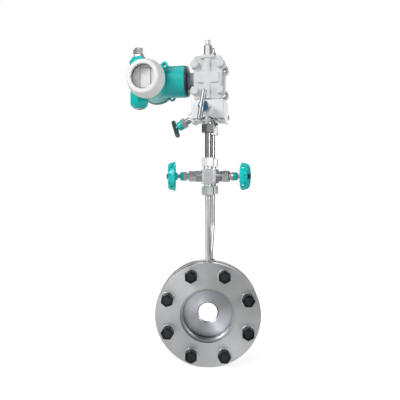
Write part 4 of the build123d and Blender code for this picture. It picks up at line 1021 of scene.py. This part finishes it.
# Process flanges and capsule: two cast covers over the measuring cell, painted light grey, with a raised
# cross, bolt ears and the boss under the vent valve, and the bluer body between them. Softened copies of
# the CAD solids, with the sand-cast skin in the paint.
cell_paint = paint(
    "cell_paint", linear(194, 196, 198), linear(207, 209, 211), rough=(0.38, 0.5),
    grain=600.0, bump=0.2, depth=0.00012,
)
soft_casting("front_process_flange", "front_flange_casting", voxel=0.8, rounds=4, material=cell_paint)
soft_casting("rear_process_flange", "rear_flange_casting", voxel=0.8, rounds=4, material=cell_paint)
capsule_grey = paint("capsule_grey", linear(128, 134, 148), linear(146, 152, 166), rough=(0.35, 0.45))
soft_casting("capsule_body", "capsule_casting", voxel=0.8, rounds=3, material=capsule_grey)

# Cell bolts and nuts: four long bolts right through the cell, with a tall head at the front and a nut at
# the back. The heads are painted over with the castings, and the nuts are black.
cell_mid_z = 484
cell_bolt_u = 25.5
cell_bolt_rise = 25.75
cell_bolt_across = 14
forwards = turned_by(90, "X")
for k, (u, rise) in enumerate(product((-cell_bolt_u, cell_bolt_u), (-cell_bolt_rise, cell_bolt_rise))):
    place = tower_place(u, 0, cell_mid_z + rise) @ forwards
    bolt = hex_piece("cell_bolt_%d" % k, cell_bolt_across, low=33, high=43, bore=0, chamfer=1.5, ease=0.3)
    shank = turn_piece(
        "shank", [(0.5, -42.5), (3.2, -42.5), (4, -41.7), (4, 33.1), (0.5, 33.1)], steps=24, bored=False
    )
    cut_with(bolt, shank, "UNION")
    finish_piece(bolt, place, cell_paint, "meter", "cell_bolts")
    nut = hex_piece("cell_nut_%d" % k, cell_bolt_across, low=-39.5, high=-33, bore=8.1)
    finish_piece(nut, place, black_steel, "meter", "cell_nuts")

# Vent valves: a tall hexagon body screwed into each process flange and a screw with a round cap, plated.
# The screw turns in the body.
vent_z = 527.5
for end, v in (("front", -half_spacing), ("rear", half_spacing)):
    body = hex_piece(end + "_vent_hexagon", across=14, low=0, high=20.5, bore=5.1, chamfer=1.1, ease=0.3)
    thread = turn_piece("thread", [(2.55, -7.5), (4.45, -7.5), (4.45, 0.2), (2.55, 0.2)], steps=32)
    cut_with(body, thread, "UNION")
    finish_piece(body, tower_place(0, v, vent_z), fitting_steel, "meter", "vent_bodies")
    cap = turn_piece(
        end + "_vent_cap",
        [(0.3, 11), (1, 11), (2.5, 13), (2.5, 21.5), (4.3, 21.5), (5, 22.2), (5, 28.2), (4.6, 29.6),
         (3.6, 30.6), (2, 31), (0.3, 31)],
        steps=32, bored=False,
    )
    finish_piece(cap, tower_place(0, v, vent_z), fitting_steel, end + "_vent", end + "_vent_screw")

# Neck ring: the dark locking ring between the cell's neck and the head's sleeve, coarse turned steel
# with a blue-grey lacquer. It keeps its CAD solid.
neck_black = paint("neck_black", linear(34, 40, 52), linear(52, 60, 76), rough=(0.3, 0.45))
dress(neck_black, "neck_ring")

# Sensor sleeve: a round aluminium sleeve in the housing's green, between the neck ring and the barrel.
# It is turned on the head's axis, which runs to the left.
head_axis_z = 484.7
green = enamel("green_enamel", linear(0, 166, 162), linear(0, 182, 177))
sleeve = turn_piece(
    "sleeve_shell",
    [(27.5, 48.5), (30, 48.5), (31.4, 49), (32.2, 49.9), (32.5, 51.2), (32.5, 84.7), (32.2, 85), (27.5, 85)],
    steps=128,
)
finish_piece(sleeve, tower_place(0, 0, head_axis_z) @ turned_by(-90, "Y"), green, "meter", "sensor_sleeve")

# Housing: one aluminium casting with the barrel, the conduit column, the two lugs and the collar, painted
# in green enamel. A softened copy of the CAD solid.
soft_casting("housing", "housing_casting", voxel=1.0, rounds=3, material=green)

# Covers: two screw covers turned from castings, off-white at the front and, at the back, painted pale
# green-grey, as painted shade and a painted green reflection of the housing. The front one holds the window.
head_u = -123.5
cover_facets = 160
front_head = tower_place(head_u, 0, head_axis_z) @ turned_by(90, "X")
rear_head = front_head @ turned_by(180, "X")
cream = paint(
    "cream_paint", linear(212, 213, 211), linear(223, 224, 222), rough=(0.34, 0.44),
    grain=500.0, bump=0.08, depth=0.0001,
)
front_cover = turn_piece(
    "front_cover_shell",
    [(34, 54.5), (34, 43.8), (36.5, 43.8), (36.5, 41.4), (38.3, 41.4), (39, 41.7), (39.3, 42.4), (39.3, 47.2),
     (39, 48.2), (37.9, 49.4), (33.9, 64.6), (33.4, 66.6), (32.4, 68.2), (30.9, 69), (26, 69), (25, 68.7),
     (24.5, 68), (24.5, 63), (29, 63), (29, 54.5)],
    steps=cover_facets,
)
finish_piece(front_cover, front_head, cream, "front_cover_shell", "front_cover")
# Painted shade and a painted green reflection: the back cover's grey-green.
shaded_green_reflection = paint("shaded_green_reflection", linear(128, 152, 145), linear(140, 164, 156), rough=(0.35, 0.45))
rear_cover = turn_piece(
    "rear_cover_shell",
    [(0.5, 52.4), (32, 52.4), (34, 50.4), (34, 36.85), (36.5, 36.85), (36.5, 34.4), (38.3, 34.4), (39, 34.7),
     (39.3, 35.4), (39.3, 40.2), (39, 41.2), (37.9, 42.4), (33.9, 52.8), (33.4, 54.9), (32.3, 56.5),
     (30.9, 57), (0.5, 57)],
    steps=cover_facets, bored=False,
)
finish_piece(rear_cover, rear_head, shaded_green_reflection, "rear_cover_shell", "rear_cover")

# Window: a disc of clear tempered glass with a ground edge, held in the front cover by the dark ring
# behind it. Both keep their CAD solids.
glass, glass_tree, glass_shader = blank_material("window_clear")
glass_shader.inputs["Alpha"].default_value = 0.12
smear = place_noise(glass_tree, scale=40.0, detail=3.0)
glass_tree.links.new(spread(glass_tree, smear, 0.02, 0.06), glass_shader.inputs["Roughness"])
dress(glass, "window_glass")
dress(dark_steel, "glass_ring")

# Display: a round light grey module in the housing's mouth, with a raised frame round a bare white screen.
# The screen fills the frame's opening and lies a little below its edge.
screen_wide = 20
screen_high = 37
frame_edge = 2
display_grey = paint("display_grey", linear(244, 244, 245), linear(250, 250, 251), rough=(0.5, 0.6))
frame_grey = paint("frame_grey", linear(150, 151, 153), linear(162, 163, 165), rough=(0.5, 0.6))
screen_white = paint("screen_white", linear(240, 240, 240), linear(248, 248, 248), rough=(0.3, 0.4))
module = turn_piece(
    "display_module",
    [(0.5, 39), (30.4, 39), (31, 39.5), (31, 48.4), (30.4, 49), (0.5, 49)],
    steps=96, bored=False,
)
finish_piece(module, front_head, display_grey, "meter", "display_panel")
bezel_wide = screen_wide + 2 * frame_edge
bezel_high = screen_high + 2 * frame_edge
bezel = block_piece("display_bezel", bezel_wide, bezel_high, low=48.8, high=50.5, corner=1.6, ease=0.3)
cut_with(bezel, block_piece("pane", screen_wide, screen_high, low=48, high=52, corner=1.0, ease=0))
finish_piece(bezel, front_head, frame_grey, "meter", "display_panel")
screen = block_piece(
    "display_screen", screen_wide + 0.2, screen_high + 0.2, low=48.8, high=49.6, corner=0.9, ease=0.15
)
finish_piece(screen, front_head, screen_white, "meter", "display_panel")

# Cable gland: a nickel-plated brass body and a domed cap nut on top of the conduit column.
# Both keep their CAD solids.
nickel = metal("nickel", linear(200, 201, 202), linear(218, 219, 220), rough=(0.3, 0.38))
dress(nickel, "cable_gland", "gland_cap_nut")

# Blind plug: a round plug with a hexagon socket, closing the lower end of the conduit column.
# It keeps its CAD solid.
dress(fitting_steel, "blind_plug")
